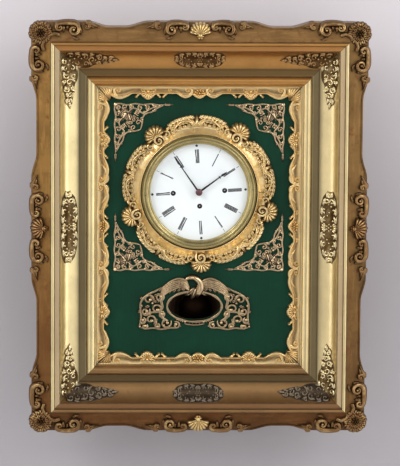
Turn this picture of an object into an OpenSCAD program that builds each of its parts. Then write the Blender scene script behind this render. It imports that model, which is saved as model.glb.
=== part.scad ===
// Picture frame clock for a wall. A giltwood frame is hinged to a shallow wooden box that holds
// a movement with three trains and a short pendulum. Millimetres, +Z up.
// The origin is on the wall, in the middle of the back board. The front faces -Y, +X is right.

/* [Frame] */
// Width of the frame at the waists of its swept edges
frame_w = 507; // [470:1:620]
// Height of the frame at the waists of its swept edges
frame_h = 627; // [580:1:760]
// How far corners and crests stand out beyond the waists
sweep = 8; // [4:0.5:14]
// Radius of the frame's outer corners
corner_round = 24; // [12:1:30]
// Width of the raised rim along the waists
rim_w = 2.2; // [1:0.2:3]
// Height of that rim above the outer band
rim_h = 1.4; // [0.6:0.2:2]
// Length of a corner cluster along each side, from the corner
corner_reach = 76; // [60:1:90]
// Half the length of the crest in the middle of a side
crest_half = 78; // [60:1:85]
// Thickness of the frame at its outer edge
edge_h = 35; // [28:0.5:40]
// Thickness of the frame at its ridge bead
ridge_h = 48; // [44:0.5:60]
// Width of the sloping outer band
band_w = 22.5; // [18:0.5:26]
// Width of the ridge bead
bead_w = 5.5; // [4:0.5:8]
// Width of the flat beside the ridge bead
fillet_w = 9; // [6:0.5:12]
// Width of the cove
cove_w = 29.5; // [24:0.5:34]
// Width of the groove at the foot of the cove
valley_w = 11.5; // [8:0.5:14]
// Width of the inner bead
inner_bead_w = 13.5; // [10:0.5:15]
// Width of the liner that shows inside the frame
liner_w = 19; // [14:0.5:24]

/* [Panel] */
// Thickness of the green panel
panel_t = 10; // [7:0.5:12]
// Height of the dial centre above the middle of the frame
dial_z = 54; // [44:1:60]
// Place of the pendulum window's centre across the panel
window_x = -6; // [-10:0.5:10]
// Height of the pendulum window's centre
window_z = -127.5; // [-134:0.5:-122]
// Width of the pendulum window
window_w = 81; // [60:1:90]
// Height of the pendulum window
window_h = 44; // [34:1:50]
// Outer radius of the ornament round the dial
surround_r = 119; // [112:1:122]

/* [Dial] */
// Radius of the dial that shows inside the bezel
dial_r = 76; // [70:0.5:80]
// Width of the bezel
bezel_w = 13; // [10:0.5:15]
// Height of the bezel above the dial
bezel_h = 12.5; // [8:0.5:14]
// How far the movement and dial are turned, seen from the front
tilt = 3.2; // [0:0.1:5]
// Radius of the winding holes
winding_hole_r = 4; // [3.5:0.1:5]
// Gap between the minute hand's tip and the bezel
minute_gap = 7; // [3:0.5:16]
// How much shorter the hour hand is than the minute hand
hour_short = 15; // [8:0.5:24]

/* [Box] */
// Width of the wooden box
box_w = 300; // [290:1:320]
// Height of the wooden box
box_h = 430; // [420:1:445]
// Depth of the wooden box
box_d = 88; // [86:1:100]
// Thickness of the box's boards
board_t = 10; // [8:0.5:12]
// Thickness of the back board
back_t = 8; // [6:0.5:10]
// Gap between the box and the frame that is hinged to it
door_gap = 2; // [1.2:0.1:3]
// Radius of the hole in the hanging plate
hang_r = 5; // [3:0.5:6]

/* [Movement] */
// Thickness of the movement's plates
plate_t = 3; // [2:0.25:4]
// Clear distance between the plates
plate_gap = 36; // [34:0.5:40]
// Distance from the back board to the back plate
post_len = 34; // [30:0.5:40]
// Distance of the strike barrels from the centre, to each side
strike_x = 40.3; // [39:0.1:42]
// Pendulum length from its bending point to the middle of the bob
pendulum_len = 248; // [230:1:252]
// Radius of the pendulum bob
bob_r = 26; // [20:0.5:28]
// Thickness of the pendulum bob
bob_t = 13; // [8:0.5:15]
// Radius of the wire of the hour gong
gong_wire = 1.3; // [1:0.05:1.6]

/* [Hidden] */
$fn = 96;

// Running clearance of a shaft in its hole
run = 0.05;
// Gap between pieces that lie against each other on a curve
seat = 0.3;
// Overlap that a cutting shape needs to pass a face
cut = 1;

// Depths: each is a distance from the wall towards the viewer
back_face = back_t;
box_front = box_d;
door_back = box_d + door_gap;
panel_front = door_back + panel_t;
plate_back = back_face + post_len;
plate_in = plate_back + plate_t;
plate_front_in = plate_in + plate_gap;
plate_front = plate_front_in + plate_t;
dial_back = plate_front + 17.5;
dial_plate_t = 2;
dial_t = 2;
dial_front = dial_back + dial_t;
bezel_front = dial_front + bezel_h;
hour_hand_y = dial_front + 3.5;
minute_hand_y = dial_front + 6.5;
hand_t = 1.2;

bezel_r = dial_r + bezel_w;
minute_len = dial_r - minute_gap;
hour_len = minute_len - hour_short;
door_hole_r = bezel_r + 2.5;
lip_w = 2;
fillet_at = band_w + bead_w;
cove_at = fillet_at + fillet_w;
valley_at = cove_at + cove_w;
inner_bead_at = valley_at + valley_w;
rail_w = inner_bead_at + inner_bead_w + lip_w;
rabbet_w = 7.5;
rabbet_h = panel_t + 0.3;
lip_h = panel_t + 8;
valley_h = lip_h - 1;
band_h = ridge_h - 5;
fillet_h = ridge_h - 6;
cove_h = valley_h + 3;

// Turns flat work drawn in X and Y to stand upright, with its thickness from depth y0 forwards
module upright(y0, t) translate([0, -y0, 0]) rotate([90, 0, 0]) linear_extrude(t) children();

// Places a child made about the Z axis so that the axis runs forwards from depth y0
module forwards(x, z, y0) translate([x, -y0, z]) rotate([90, 0, 0]) children();

// A rod along the depth between two depths
module rod(x, z, y0, y1, r) forwards(x, z, y0) cylinder(r = r, h = y1 - y0);

// Turns the movement about the dial's centre; children use places measured from that centre
module turned() translate([0, 0, dial_z]) rotate([0, -tilt, 0]) children();

// The place in the clock of a point measured from the dial's centre in the turned movement
function at_dial(p) = [
    p[0] * cos(tilt) - p[1] * sin(tilt),
    dial_z + p[0] * sin(tilt) + p[1] * cos(tilt)
];

function polar(r, a) = [r * cos(a), r * sin(a)];
function clamp01(x) = max(0, min(1, x));
// Falls smoothly from 1 to 0 while x goes from 0 to 1
function fall(x) = (1 + cos(180 * clamp01(x))) / 2;

// Wooden box

module back_board() color("sienna") difference() {
    upright(0, back_t) square([box_w, box_h], center = true);
    // seat of the hanging plate
    translate([-hang_w / 2, -hang_t, box_h / 2 - hang_in])
        cube([hang_w, hang_t + cut, hang_in + cut]);
}

module box_sides() color("sienna") for (s = [-1, 1])
    difference() {
        translate([s > 0 ? box_w / 2 - board_t : -box_w / 2, -box_front, -box_h / 2])
            cube([board_t, box_front - back_face, box_h]);
        if (s < 0) for (z = hinge_zs)
            translate([-box_w / 2 - cut, -box_front - cut, z - hinge_len / 2])
                cube([leaf_w + cut, leaf_t + cut, hinge_len]);
        if (s > 0) hook_hole();
    }

module box_ends() color("sienna") for (s = [-1, 1])
    translate([-box_w / 2 + board_t, -box_front, s > 0 ? box_h / 2 - board_t : -box_h / 2])
        cube([box_w - 2 * board_t, box_front - back_face, board_t]);

hang_w = 34;
hang_t = 2;
hang_in = 46;
hang_up = 16;

// Iron plate let into the back board, with the eye that goes over the wall hook above the box
module hanging_plate() color("dimgray") difference() {
    union() {
        upright(0, hang_t) translate([-hang_w / 2, box_h / 2 - hang_in])
            square([hang_w, hang_in]);
        upright(0, hang_t) translate([-hang_w / 2, box_h / 2]) square([hang_w, hang_up - 6]);
        rod(0, box_h / 2 + hang_up - 6, 0, hang_t, hang_w / 2);
    }
    rod(0, box_h / 2 + hang_up - 6, -cut, hang_t + cut, hang_r);
    for (z = [12, 34]) rod(0, box_h / 2 - z, -cut, hang_t + cut, 2);
}

// Hinges on the left: the box's leaf has the outer knuckles, the frame's leaf the middle one

hinge_len = 50;
hinge_zs = [-box_h / 2 + 75, box_h / 2 - 75];
leaf_t = 1.6;
leaf_w = 9;
pin_r = 1.5;
knuckle_r = 3.4;
hinge_x = -box_w / 2 - knuckle_r;
hinge_y = door_back - knuckle_r - 0.4;
middle = hinge_len / 3;

module knuckle(z0, z1) translate([hinge_x, -hinge_y, z0]) cylinder(r = knuckle_r, h = z1 - z0);

module pin_hole(z) translate([hinge_x, -hinge_y, z - hinge_len / 2 - cut])
    cylinder(r = pin_r + run, h = hinge_len + 2 * cut);

module box_hinge_leaves() color("peru") for (z = hinge_zs) difference() {
    union() {
        for (s = [-1, 1]) {
            z0 = s > 0 ? z + middle / 2 + 0.15 : z - hinge_len / 2;
            z1 = s > 0 ? z + hinge_len / 2 : z - middle / 2 - 0.15;
            knuckle(z0, z1);
            translate([hinge_x, -box_front, z0]) cube([knuckle_r + 1, leaf_t, z1 - z0]);
        }
        translate([hinge_x + knuckle_r, -box_front, z - hinge_len / 2])
            cube([leaf_w, leaf_t, hinge_len]);
    }
    pin_hole(z);
}

module frame_hinge_leaves() color("peru") for (z = hinge_zs) difference() {
    union() {
        knuckle(z - middle / 2, z + middle / 2);
        translate([hinge_x, -door_back, z - middle / 2])
            cube([knuckle_r + 1, door_gap - 0.5, middle]);
        translate([hinge_x + knuckle_r + 0.5, -door_back, z - hinge_len / 2])
            cube([leaf_w, door_gap - 0.5, hinge_len]);
    }
    pin_hole(z);
}

module hinge_pins() color("gray") for (z = hinge_zs) translate([hinge_x, -hinge_y, 0]) {
    translate([0, 0, z - hinge_len / 2]) cylinder(r = pin_r, h = hinge_len);
    translate([0, 0, z + hinge_len / 2]) cylinder(r = knuckle_r - 0.6, h = 1.2);
}

// Hook on the box's right side, which swings up to take the stud on the back of the frame

hook_z = 0;
hook_x = box_w / 2;
hook_pivot_y = box_front - 26;
stud_y = door_back - 3;
hook_t = 1.6;
hook_len = 21;
hook_w = 6;
stud_r = 1.6;
stud_z = hook_z;

module catch_hook() color("goldenrod") {
    translate([hook_x + seat, -hook_pivot_y, stud_z]) rotate([90, 0, 90]) {
        linear_extrude(hook_t) difference() {
            union() {
                circle(r = hook_w / 2);
                translate([-hook_w / 2, -hook_len - 3]) square([hook_w, hook_len + 3]);
                translate([0, -hook_len - 3]) circle(r = hook_w / 2);
            }
            translate([0, -hook_len]) circle(r = stud_r + seat);
            translate([-hook_w, -hook_len - stud_r - seat])
                square([hook_w, 2 * (stud_r + seat)]);
        }
        translate([0, 0, -6]) cylinder(r = pin_r, h = 6 + hook_t + 0.6);
    }
}

module hook_hole() translate([hook_x, -hook_pivot_y, stud_z]) rotate([0, 90, 0])
    cylinder(r = pin_r + run, h = 16, center = true);

module catch_stud() color("goldenrod") {
    reach = hook_pivot_y + hook_len;
    translate([hook_x + 6, -door_back, stud_z - 9]) cube([14, 1.4, 18]);
    translate([hook_x + 6, -door_back + 0.7, stud_z - 3])
        cube([2.5, door_back - reach + 2.3, 6]);
    translate([hook_x + seat, -reach, stud_z]) rotate([0, 90, 0])
        cylinder(r = stud_r, h = 7);
}

// Frame rails

// Section of a rail: X runs inwards from the waist of the outer edge, Y from the back forwards
module rail_section() {
    out = sweep + 4;
    bead_r = bead_w / 2;
    inner_r = inner_bead_w / 2;
    drop = fillet_h - cove_h;
    cove_r = (cove_w * cove_w + drop * drop) / (2 * drop);
    difference() {
        union() {
            polygon([
                [-out, 0], [-out, edge_h - out * (band_h - edge_h) / band_w],
                [band_w, band_h], [band_w, ridge_h - bead_r],
                [fillet_at, ridge_h - bead_r], [fillet_at, fillet_h], [cove_at, fillet_h],
                [valley_at, fillet_h], [valley_at, valley_h], [rail_w, valley_h + 1],
                [rail_w, rabbet_h], [rail_w - rabbet_w, rabbet_h], [rail_w - rabbet_w, 0]
            ]);
            translate([band_w + bead_r, ridge_h - bead_r]) circle(r = bead_r);
            translate([inner_bead_at + inner_r, valley_h + 1]) circle(r = inner_r);
        }
        intersection() {
            translate([valley_at, cove_h + cove_r]) circle(r = cove_r);
            translate([cove_at, 0]) square([cove_w, ridge_h + cut]);
        }
    }
}

// How far a side's edge stands out at a distance along it from the corner, on a side of length l
function edge_out(s, l) = let (
    free = l / 2 - corner_reach - crest_half,
    ramp = min(38, free / 2)
) sweep * max(fall((s - corner_reach) / ramp), fall((l / 2 - crest_half - s) / ramp));

// One half of a side's outline, from the corner to the middle, as points along and across it
function half_outline(l) = let (
    free = l / 2 - corner_reach - crest_half,
    ramp = min(38, free / 2),
    starts = [corner_reach, l / 2 - crest_half - ramp]
) [for (k = [0, 1]) for (i = [0 : 8]) let (s = starts[k] + ramp * i / 8) [s, edge_out(s, l)]];

function mirrored(points) = [for (i = [len(points) - 1 : -1 : 0]) [-points[i][0], points[i][1]]];

// Plan of one mitred rail of length l, with its middle at X = 0 and its waist at Y = 0
module rail_plan(l) {
    centre = [-l / 2 - sweep + corner_round, sweep - corner_round];
    in = round(100 * corner_round * (1 - sqrt(0.5))) / 100;
    tip = [-l / 2 - sweep + in, sweep - in];
    corner = [for (i = [1 : 6]) centre + polar(corner_round, 135 - 45 * i / 6)];
    edge = [for (p = half_outline(l)) [p[0] - l / 2, p[1]]];
    left = concat([[-l / 2 + rail_w, -rail_w], tip], corner, edge);
    polygon(concat(left, mirrored(left)));
}

// Plan of the raised rims along the two waists of a rail, which stop short of the ornaments
module rim_plan(l) {
    outline = half_outline(l);
    edge = [for (i = [1 : len(outline) - 2]) [outline[i][0] - l / 2, outline[i][1]]];
    strip = concat(edge, [for (i = [len(edge) - 1 : -1 : 0]) edge[i] - [0, rim_w]]);
    polygon(strip);
    polygon(mirrored(strip));
}

// Section that the rims are cut from: the outer band, raised
module rim_section() {
    out = sweep + 4;
    polygon([
        [-out, 0], [-out, edge_h - out * (band_h - edge_h) / band_w + rim_h],
        [band_w, band_h + rim_h], [band_w, 0]
    ]);
}

// Turns a piece made as the top side so that it is the top, right, bottom or left side
module on_side(k) rotate([0, 90 * k, 0]) children();
function side_len(k) = k % 2 == 0 ? frame_w : frame_h;
function side_far(k) = k % 2 == 0 ? frame_h / 2 : frame_w / 2;

// A section of the top rail drawn out along the whole side and past its ends
module drawn_out(k) {
    l = side_len(k) + 2 * sweep + 2;
    multmatrix([[0, 0, -1, l / 2], [0, -1, 0, -door_back], [-1, 0, 0, side_far(k)], [0, 0, 0, 1]])
        linear_extrude(l) children();
}

module rail_bar(k) drawn_out(k) rail_section();

// Raises a plan of the top rail to the frame's full thickness
module from_plan(k) translate([0, -door_back + cut, side_far(k)]) rotate([90, 0, 0])
    linear_extrude(ridge_h + 2 * cut) children();

module rail(k) color("darkgoldenrod") on_side(k) {
    intersection() {
        rail_bar(k);
        from_plan(k) rail_plan(side_len(k));
    }
    intersection() {
        drawn_out(k) rim_section();
        from_plan(k) rim_plan(side_len(k));
    }
}

module frame_top() rail(0);
module frame_right() rail(1);
module frame_bottom() rail(2);
module frame_left() rail(3);

// Liner: the sight edge inside the rails, a flat of carved scrollwork with a waving inner edge

// How far the liner's inner edge stands in or out at a place along it, measured from the middle:
// a boss in the middle, shells a sixth of the way from the ends, hollows between
function liner_wave(s, l) = let (
    boss = 3.5 * fall(abs(s) / 13),
    shell = 4 * fall(abs(abs(s) - l * 0.26) / 16),
    corner = 9 * fall((l / 2 - abs(s)) / 34),
    ripple = 1.2 * cos(360 * s / (l / 9))
) boss + shell + corner + ripple;

module liner(k) color("goldenrod") {
    fit = 0.2;
    l = side_len(k) - 2 * (rail_w + fit);
    far = side_far(k) - rail_w - fit;
    steps = 60;
    inner = [for (i = [0 : steps]) let (s = (i / steps - 0.5) * (l - 2 * liner_w))
        [s, -liner_w - liner_wave(s, l) + 3]];
    on_side(k) intersection() {
        translate([0, 0, far]) union() {
            upright(panel_front, 7) polygon(concat([[-l / 2, 0]], inner, [[l / 2, 0]]));
            for (s = [-l * 0.26, 0, l * 0.26])
                forwards(s, -liner_w * 0.55, panel_front + 7) cylinder(r1 = 8, r2 = 6, h = 2.5);
        }
        translate([0, 0, far]) upright(panel_front - cut, 14)
            polygon([[-l / 2, 0], [l / 2, 0], [0, -l / 2]]);
    }
}

module liner_top() liner(0);
module liner_right() liner(1);
module liner_bottom() liner(2);
module liner_left() liner(3);

// Panel

function oval(w, h, n = 72) = [for (i = [0 : n - 1]) [w / 2 * cos(360 * i / n), h / 2 * sin(360 * i / n)]];

module door_panel() color("darkgreen") {
    half_w = frame_w / 2 - rail_w + rabbet_w - seat;
    half_h = frame_h / 2 - rail_w + rabbet_w - seat;
    difference() {
        upright(door_back, panel_t) difference() {
            square([2 * half_w, 2 * half_h], center = true);
            translate([window_x, window_z]) polygon(oval(window_w, window_h));
        }
        rod(0, dial_z, door_back - cut, panel_front + cut, door_hole_r);
    }
}

// Cast and carved ornaments, drawn as ribbons along curves

// Outline of a ribbon along points, with a half width at each of them
function ribbon(pts, widths) = let (
    n = len(pts),
    side = [for (i = [0 : n - 1]) let (
        a = pts[max(i - 1, 0)], b = pts[min(i + 1, n - 1)],
        d = b - a, s = norm(d) == 0 ? 1 : norm(d)
    ) [-d[1] / s, d[0] / s] * widths[i]]
) concat([for (i = [0 : n - 1]) pts[i] + side[i]], [for (i = [n - 1 : -1 : 0]) pts[i] - side[i]]);

// Steps along a scroll
turn_steps = 9;

// Points of a spiral about c that starts at angle a0 with radius r0 and turns to a1 with radius r1
function spiral(c, r0, r1, a0, a1, n = turn_steps) =
    [for (i = [0 : n]) c + polar(r0 + (r1 - r0) * i / n, a0 + (a1 - a0) * i / n)];

// Half widths that swell from w0 in the middle and taper to w1 at both ends
function swell(w0, w1, n = turn_steps) = [for (i = [0 : n]) w1 + (w0 - w1) * sin(180 * i / n)];

// A scroll: a spiral ribbon with a round eye at its inner end
module scroll(c, r0, r1, a0, a1, w) {
    polygon(ribbon(spiral(c, r0, r1, a0, a1), swell(w, w * 0.45)));
    translate(c + polar(r1, a1)) circle(r = w * 0.95, $fn = 8);
}

// A pointed leaf of length l and half width w, from a root at p in direction a
module leaf(p, a, l, w) translate(p) rotate(a)
    polygon([for (i = [0 : 9]) let (t = i <= 5 ? i / 5 : 2 - i / 5)
        [l * t, (i <= 5 ? 1 : -1) * w * sin(180 * pow(t, 0.7))]]);

// A fan shell with n flutes, opening in direction a from a root at p
module fan(p, a, r, n = 7, spread = 150) translate(p) rotate(a) {
    for (i = [0 : n - 1]) let (b = (i / (n - 1) - 0.5) * spread)
        rotate(b) polygon(concat([[0, 0]],
            [for (j = [0 : 4]) polar(r * 0.82, spread / n * 1.1 * (j / 4 - 0.5))
                + polar(r * 0.18, 160 * (j / 4 - 0.5))]));
    circle(r = r * 0.28, $fn = 12);
}

// A rosette with n petals
module rosette(p, r, n = 8) translate(p) {
    circle(r = r * 0.62, $fn = 12);
    for (i = [0 : n - 1]) rotate(360 * i / n) translate([r * 0.62, 0])
        circle(r = r * 0.34, $fn = 8);
}

// Joins a drawing into one outline
module joined() offset(delta = 0.02) children();

// Dial surround: a hollow ring inside a waving wreath with five shells

shell_angles = [for (i = [0 : 4]) 272 + 72 * i];
surround_h = 15;
surround_hollow_h = 9;

function surround_out(a) = let (
    d = min([for (s = shell_angles) abs((a - s + 900) % 360 - 180)])
) surround_r - 7 + 7 * fall(d / 13) + 4 * fall(abs(d - 36) / 15) + 0.8 * cos(a * 30);

module dial_surround() color("goldenrod") difference() {
    translate([0, 0, dial_z]) upright(panel_front, surround_h)
        polygon([for (i = [0 : 239]) polar(surround_out(i * 1.5), i * 1.5)]);
    rod(0, dial_z, panel_front - cut, panel_front + surround_h + cut, door_hole_r);
    // the hollow, a quarter round that rises from the hole to the wreath
    forwards(0, dial_z, panel_front) rotate_extrude()
        difference() {
            translate([door_hole_r - cut, surround_hollow_h]) square([12 + cut, surround_h]);
            translate([door_hole_r + 12, surround_hollow_h - 4])
                circle(r = 8);
        }
}

// Pierced corner ornament of the panel, drawn with its square corner at the origin
module spandrel_plan(l = 88) joined() {
    for (m = [0, 1]) mirror([m, -m]) {
        polygon(ribbon([[1.5, 1.5], [l * 0.45, 2.4], [l * 0.8, 1.8], [l, 1.5]],
            [1.5, 1.8, 1.3, 0.5]));
        scroll([l * 0.56, 8], 6.5, 2, -80, 260, 1.6);
        scroll([l * 0.37, 9.5], 7.5, 2.5, -60, 300, 1.7);
        scroll([l * 0.17, 8.5], 7, 2.5, -70, 250, 1.6);
        scroll([l * 0.33, 24], 8, 3, 210, -120, 1.6);
        scroll([l * 0.52, 17.5], 5, 1.8, 240, -60, 1.4);
        leaf([l * 0.58, 13], 40, 11, 2.6);
        leaf([l * 0.66, 4], 12, 15, 2.4);
        leaf([l * 0.76, 2], 8, 14, 1.8);
        leaf([l * 0.4, 31], 62, 9, 2.2);
    }
    rosette([l * 0.26, l * 0.26], 10.5);
    scroll([l * 0.42, l * 0.42], 7, 2, 225, 500, 1.6);
    leaf([l * 0.3, l * 0.3], 45, 16, 3);
}

// Gaps between the liner and the upper corner ornaments, at their sides and above them
spandrel_in = 7;
spandrel_t = 2.6;
// Lower edge of the lower pair
spandrel_low = -72;

module spandrels() color("rosybrown") for (sx = [-1, 1]) for (sz = [-1, 1]) {
    half = frame_w / 2 - rail_w - liner_w - spandrel_in;
    top = frame_h / 2 - rail_w - liner_w - spandrel_in;
    translate([sx * half, 0, sz > 0 ? top : spandrel_low]) upright(panel_front, spandrel_t)
        mirror([sx > 0 ? 1 : 0, 0]) mirror([0, sz > 0 ? 1 : 0]) spandrel_plan();
}

// Pierced ornament round the pendulum window: an eagle with spread wings over scrollwork
window_ornament_t = 3.2;

module window_ornament() color("rosybrown") translate([window_x, 0, window_z])
    upright(panel_front, window_ornament_t) difference() {
        joined() {
            polygon(oval(window_w + 13, window_h + 13));
            for (m = [0, 1]) mirror([m, 0]) {
                // wing, as feathers that fan out over the oval
                for (i = [0 : 8]) let (a = 78 - i * 6.5)
                    leaf([3 + i * 2.4, 20], a - 42 + i * 3, 34 + i * 3.1, 4.2);
                scroll([58, -16], 13, 3, 200, -150, 2.4);
                scroll([74, -20], 9, 2.5, 180, -160, 2.2);
                scroll([66, 3], 11, 3, -60, 240, 2.2);
                scroll([49, 12], 8, 2.5, -90, 200, 2.2);
                scroll([38, -29], 8, 2.5, 160, -150, 2.2);
                scroll([21, -31], 7, 2.5, 30, 330, 2.2);
                leaf([78, -8], 70, 20, 3.5);
                leaf([76, -22], -20, 13, 3.5);
                leaf([8, -30], -10, 18, 3.2);
                polygon(ribbon([[10, -33], [40, -37], [70, -34.5], [87, -36]], [2, 2.4, 2.2, 1]));
            }
            // breast, neck and head, turned to the left
            leaf([2, 20], 78, 20, 8);
            polygon(ribbon([[3, 30], [1, 37], [-4, 41], [-9, 40]], [4.5, 3.4, 3.6, 1.2]));
        }
        polygon(oval(window_w, window_h));
    }

// Ornaments on the frame

// One arm of the spray in a corner of the cove, along X from the corner
module spray_plan() joined() {
    l = 82;
    scroll([l * 0.16, 0], 8, 2.5, 200, -160, 1.7);
    scroll([l * 0.36, 2], 8.5, 2.5, 20, 380, 1.7);
    scroll([l * 0.56, -1], 7, 2.5, 200, -140, 1.6);
    scroll([l * 0.73, 1], 5.5, 2, 20, 340, 1.5);
    polygon(ribbon([[0, 0], [l * 0.25, -3], [l * 0.5, 3], [l * 0.75, -1], [l, 0]],
        [2.5, 2, 2, 1.6, 0.6]));
    leaf([l * 0.76, 0], 8, 18, 3);
    leaf([l * 0.78, -2], -22, 11, 2);
    fan([0, 0], 180, 9, 5, 120);
}

// Cartouche in the middle of the cove on each side, along X about its middle
module cartouche_plan() joined() for (m = [0, 1]) mirror([m, 0]) {
    scroll([10, 0], 9.5, 3, 180, -170, 1.7);
    scroll([26, 0], 9, 3, 0, 350, 1.7);
    scroll([19, 7], 5, 2, 200, -140, 1.3);
    scroll([19, -7], 5, 2, 160, 500, 1.3);
    leaf([30, 0], 30, 13, 2.4);
    leaf([30, 0], -30, 13, 2.4);
    leaf([34, 0], 0, 12, 2);
    rosette([0, 0], 6, 6);
    polygon(ribbon([[0, 9], [14, 10], [30, 8], [38, 4]], [1.6, 1.5, 1.3, 0.7]));
    polygon(ribbon([[0, -9], [14, -10], [30, -8], [38, -4]], [1.6, 1.5, 1.3, 0.7]));
}

// Cast pieces lie across the cove's curve and touch it with their long edges
cast_t = 2.2;
cast_half = 12;

// Lays a plan drawn with Y outwards on the cove of a side, square to the cove's middle
module on_cove(k) {
    drop = fillet_h - cove_h;
    cove_r = (cove_w * cove_w + drop * drop) / (2 * drop);
    reach = sqrt(cove_r * cove_r - cast_half * cast_half) - 0.1;
    lean = atan(drop / cove_w);
    on_side(k) translate([
        0,
        -door_back - cove_h - cove_r + reach * cos(lean),
        side_far(k) - valley_at + reach * sin(lean)
    ]) rotate([lean + 90, 0, 0]) linear_extrude(cast_t) children();
}

module cove_ornaments() color("goldenrod") for (k = [0 : 3]) {
    on_cove(k) cartouche_plan();
    end = side_len(k) / 2 - cove_at - cove_w * 0.5 - 16;
    for (s = [-1, 1]) on_cove(k) mirror([s > 0 ? 1 : 0, 0]) translate([-end, 0]) spray_plan();
}

// Half plan of a corner cluster: one arm along X from the corner, Y outwards from the waist line
module cluster_arm() {
    scroll([12, -7], 15, 5, 150, -140, 4.5);
    scroll([37, -3], 12, 4, -20, 330, 3.8);
    scroll([58, 0], 9.5, 3.5, 190, -130, 3.4);
    leaf([54, 2], -6, corner_reach - 46, 5);
    leaf([34, -12], -20, 24, 4.5);
    polygon(ribbon([[-6, 6], [16, 9], [38, 8], [60, 8.5], [corner_reach, 6]],
        [5, 4.5, 4, 3, 1.5]));
}

// Depths, from the back of the frame, where the outer ornaments start and end
cluster_low = edge_h - 6;
cluster_top = band_h + 2;
cluster_out = 3;

module rail_bar_at(k) on_side(k) rail_bar(k);

module corner_clusters() color("saddlebrown") for (sx = [-1, 1]) for (sz = [-1, 1])
    difference() {
        upright(door_back + cluster_low, cluster_top - cluster_low) intersection() {
                joined() translate([sx * frame_w / 2, sz * frame_h / 2])
                    scale([-sx, -sz]) {
                        scale([1, -1]) cluster_arm();
                        rotate(90) cluster_arm();
                        rosette([9, 9], 20);
                    }
                difference() {
                    square([frame_w + 2 * (sweep + cluster_out), frame_h + 2 * (sweep + cluster_out)],
                        center = true);
                    square([frame_w - 2 * band_w, frame_h - 2 * band_w], center = true);
                }
            }
        rail_bar_at(sz > 0 ? 0 : 2);
        rail_bar_at(sx > 0 ? 1 : 3);
    }

// Half plan of a crest in the middle of a side
module crest_half_plan() {
    scroll([20, -4], 11, 4, 160, -150, 3.8);
    scroll([41, -2], 12, 4, 10, 340, 3.8);
    scroll([60, 1], 8, 3, 190, -120, 3);
    leaf([52, 0], -4, crest_half - 50, 4.5);
    polygon(ribbon([[0, 7], [20, 9], [42, 9.5], [62, 8], [crest_half, 5]],
        [4, 4, 4, 3, 1.5]));
}

module edge_crests() color("saddlebrown") for (k = [0 : 3]) on_side(k) difference() {
    translate([0, 0, side_far(k)]) upright(door_back + cluster_low, cluster_top - cluster_low)
        intersection() {
            joined() {
                for (m = [0, 1]) mirror([m, 0]) crest_half_plan();
                fan([0, -8], 90, 22);
            }
            translate([-crest_half - 5, -band_w]) square([2 * crest_half + 10, band_w + sweep + cluster_out]);
        }
    rail_bar(k);
}

// Wheels and pinions. A tooth is an ogive on a wheel and a short rounded leaf on a pinion.

// Outline of a wheel with n teeth of module m; leaf picks the pinion's form
function teeth(n, m, leaf = false) = let (
    r = n * m / 2,
    half = (leaf ? 0.33 : 0.45) * 180 / n,
    root = r - (leaf ? 1.7 : 1.6) * m,
    form = leaf
        ? [[root, half], [r, half], [r + 0.55 * m, half * 0.5]]
        : [[root, half * 1.02], [r + 0.1 * m, half * 0.97], [r + 1.1 * m, half * 0.25]]
) [for (i = [0 : n - 1]) for (j = [0 : 5]) let (f = form[j < 3 ? j : 5 - j])
    polar(f[0], 360 * i / n + (j < 3 ? -f[1] : f[1]))];

// Window between two arms of a wheel
function crossing(r0, r1, a0, a1, w) = concat(
    [for (i = [0 : 6]) let (d = asin(w / r1)) polar(r1, a0 + d + (a1 - a0 - 2 * d) * i / 6)],
    [for (i = [3 : -1 : 0]) let (d = asin(w / r0)) polar(r0, a0 + d + (a1 - a0 - 2 * d) * i / 3)]);

// Wheel plan with four or more arms about a hub
module crossed(n, m, hub, arms = 5, rim = 2.2, arm_w = 1.1) difference() {
    polygon(teeth(n, m));
    for (i = [0 : arms - 1])
        polygon(crossing(hub, n * m / 2 - 1.6 * m - rim, 360 / arms * i, 360 / arms * (i + 1), arm_w));
}

// Plan of a ratchet wheel
module ratchet(r, n) polygon([for (i = [0 : n - 1]) for (j = [0, 1])
    polar(j == 0 ? r : r * 0.84, 360 * (i + (j == 0 ? 0 : 0.12)) / n)]);

// The trains: teeth, modules and places, measured from the dial's centre in the turned movement
great_n = 48;
great_m = 0.8;
centre_pinion_n = 8;
going_at = [0, -(great_n + centre_pinion_n) * great_m / 2];
centre_n = 96;
centre_m = 0.38;
third_pinion_n = 8;
third_n = 80;
third_m = 0.44;
escape_pinion_n = 8;
escape_n = 30;
escape_r = 13;
centre_to_third = (centre_n + third_pinion_n) * centre_m / 2;
third_to_escape = (third_n + escape_pinion_n) * third_m / 2;
escape_at = [0, 34];
third_y = (pow(centre_to_third, 2) - pow(third_to_escape, 2) + pow(escape_at[1], 2))
    / (2 * escape_at[1]);
third_at = [sqrt(pow(centre_to_third, 2) - third_y * third_y), third_y];
anchor_at = [0, 50];
strike_n = 55;
strike_pinion_n = 8;
pin_n = 64;
pin_m = 0.5;
fly_pinion_n = 8;
strike_at = [strike_x, 0];
pin_at = strike_at + polar((strike_n + strike_pinion_n) * great_m / 2, 100);
fly_at = pin_at + [0, (pin_n + fly_pinion_n) * pin_m / 2];
hammer_at = [60, -30];
cannon_n = 12;
cannon_m = 0.625;
minute_n = 36;
minute_pinion_n = 10;
hour_n = 40;
hour_m = 0.6;
minute_at = [0, (cannon_n + minute_n) * cannon_m / 2];

arbor_r = 0.9;
barrel_arbor_r = 3;
pipe_r = 2;
hour_pipe_r = 3.2;
plate_w = 136;
plate_low = -48;
plate_top = 60;
great_y = plate_in + 5;
drum_y = great_y + 2.5;
drum_end = drum_y + 17.5;
centre_y = plate_in + 29.5;
third_wheel_y = plate_in + 33;
escape_y = plate_in + 15;
pendulum_y = plate_back - 12;
post_at = [[-62, -42], [62, -42], [-62, 52], [62, 52]];
pillar_at = [[-62, -20], [62, -20], [-20, 54], [20, 54]];
foot_at = [[-52, -40], [52, -40], [-52, 46], [52, 46]];

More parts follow.
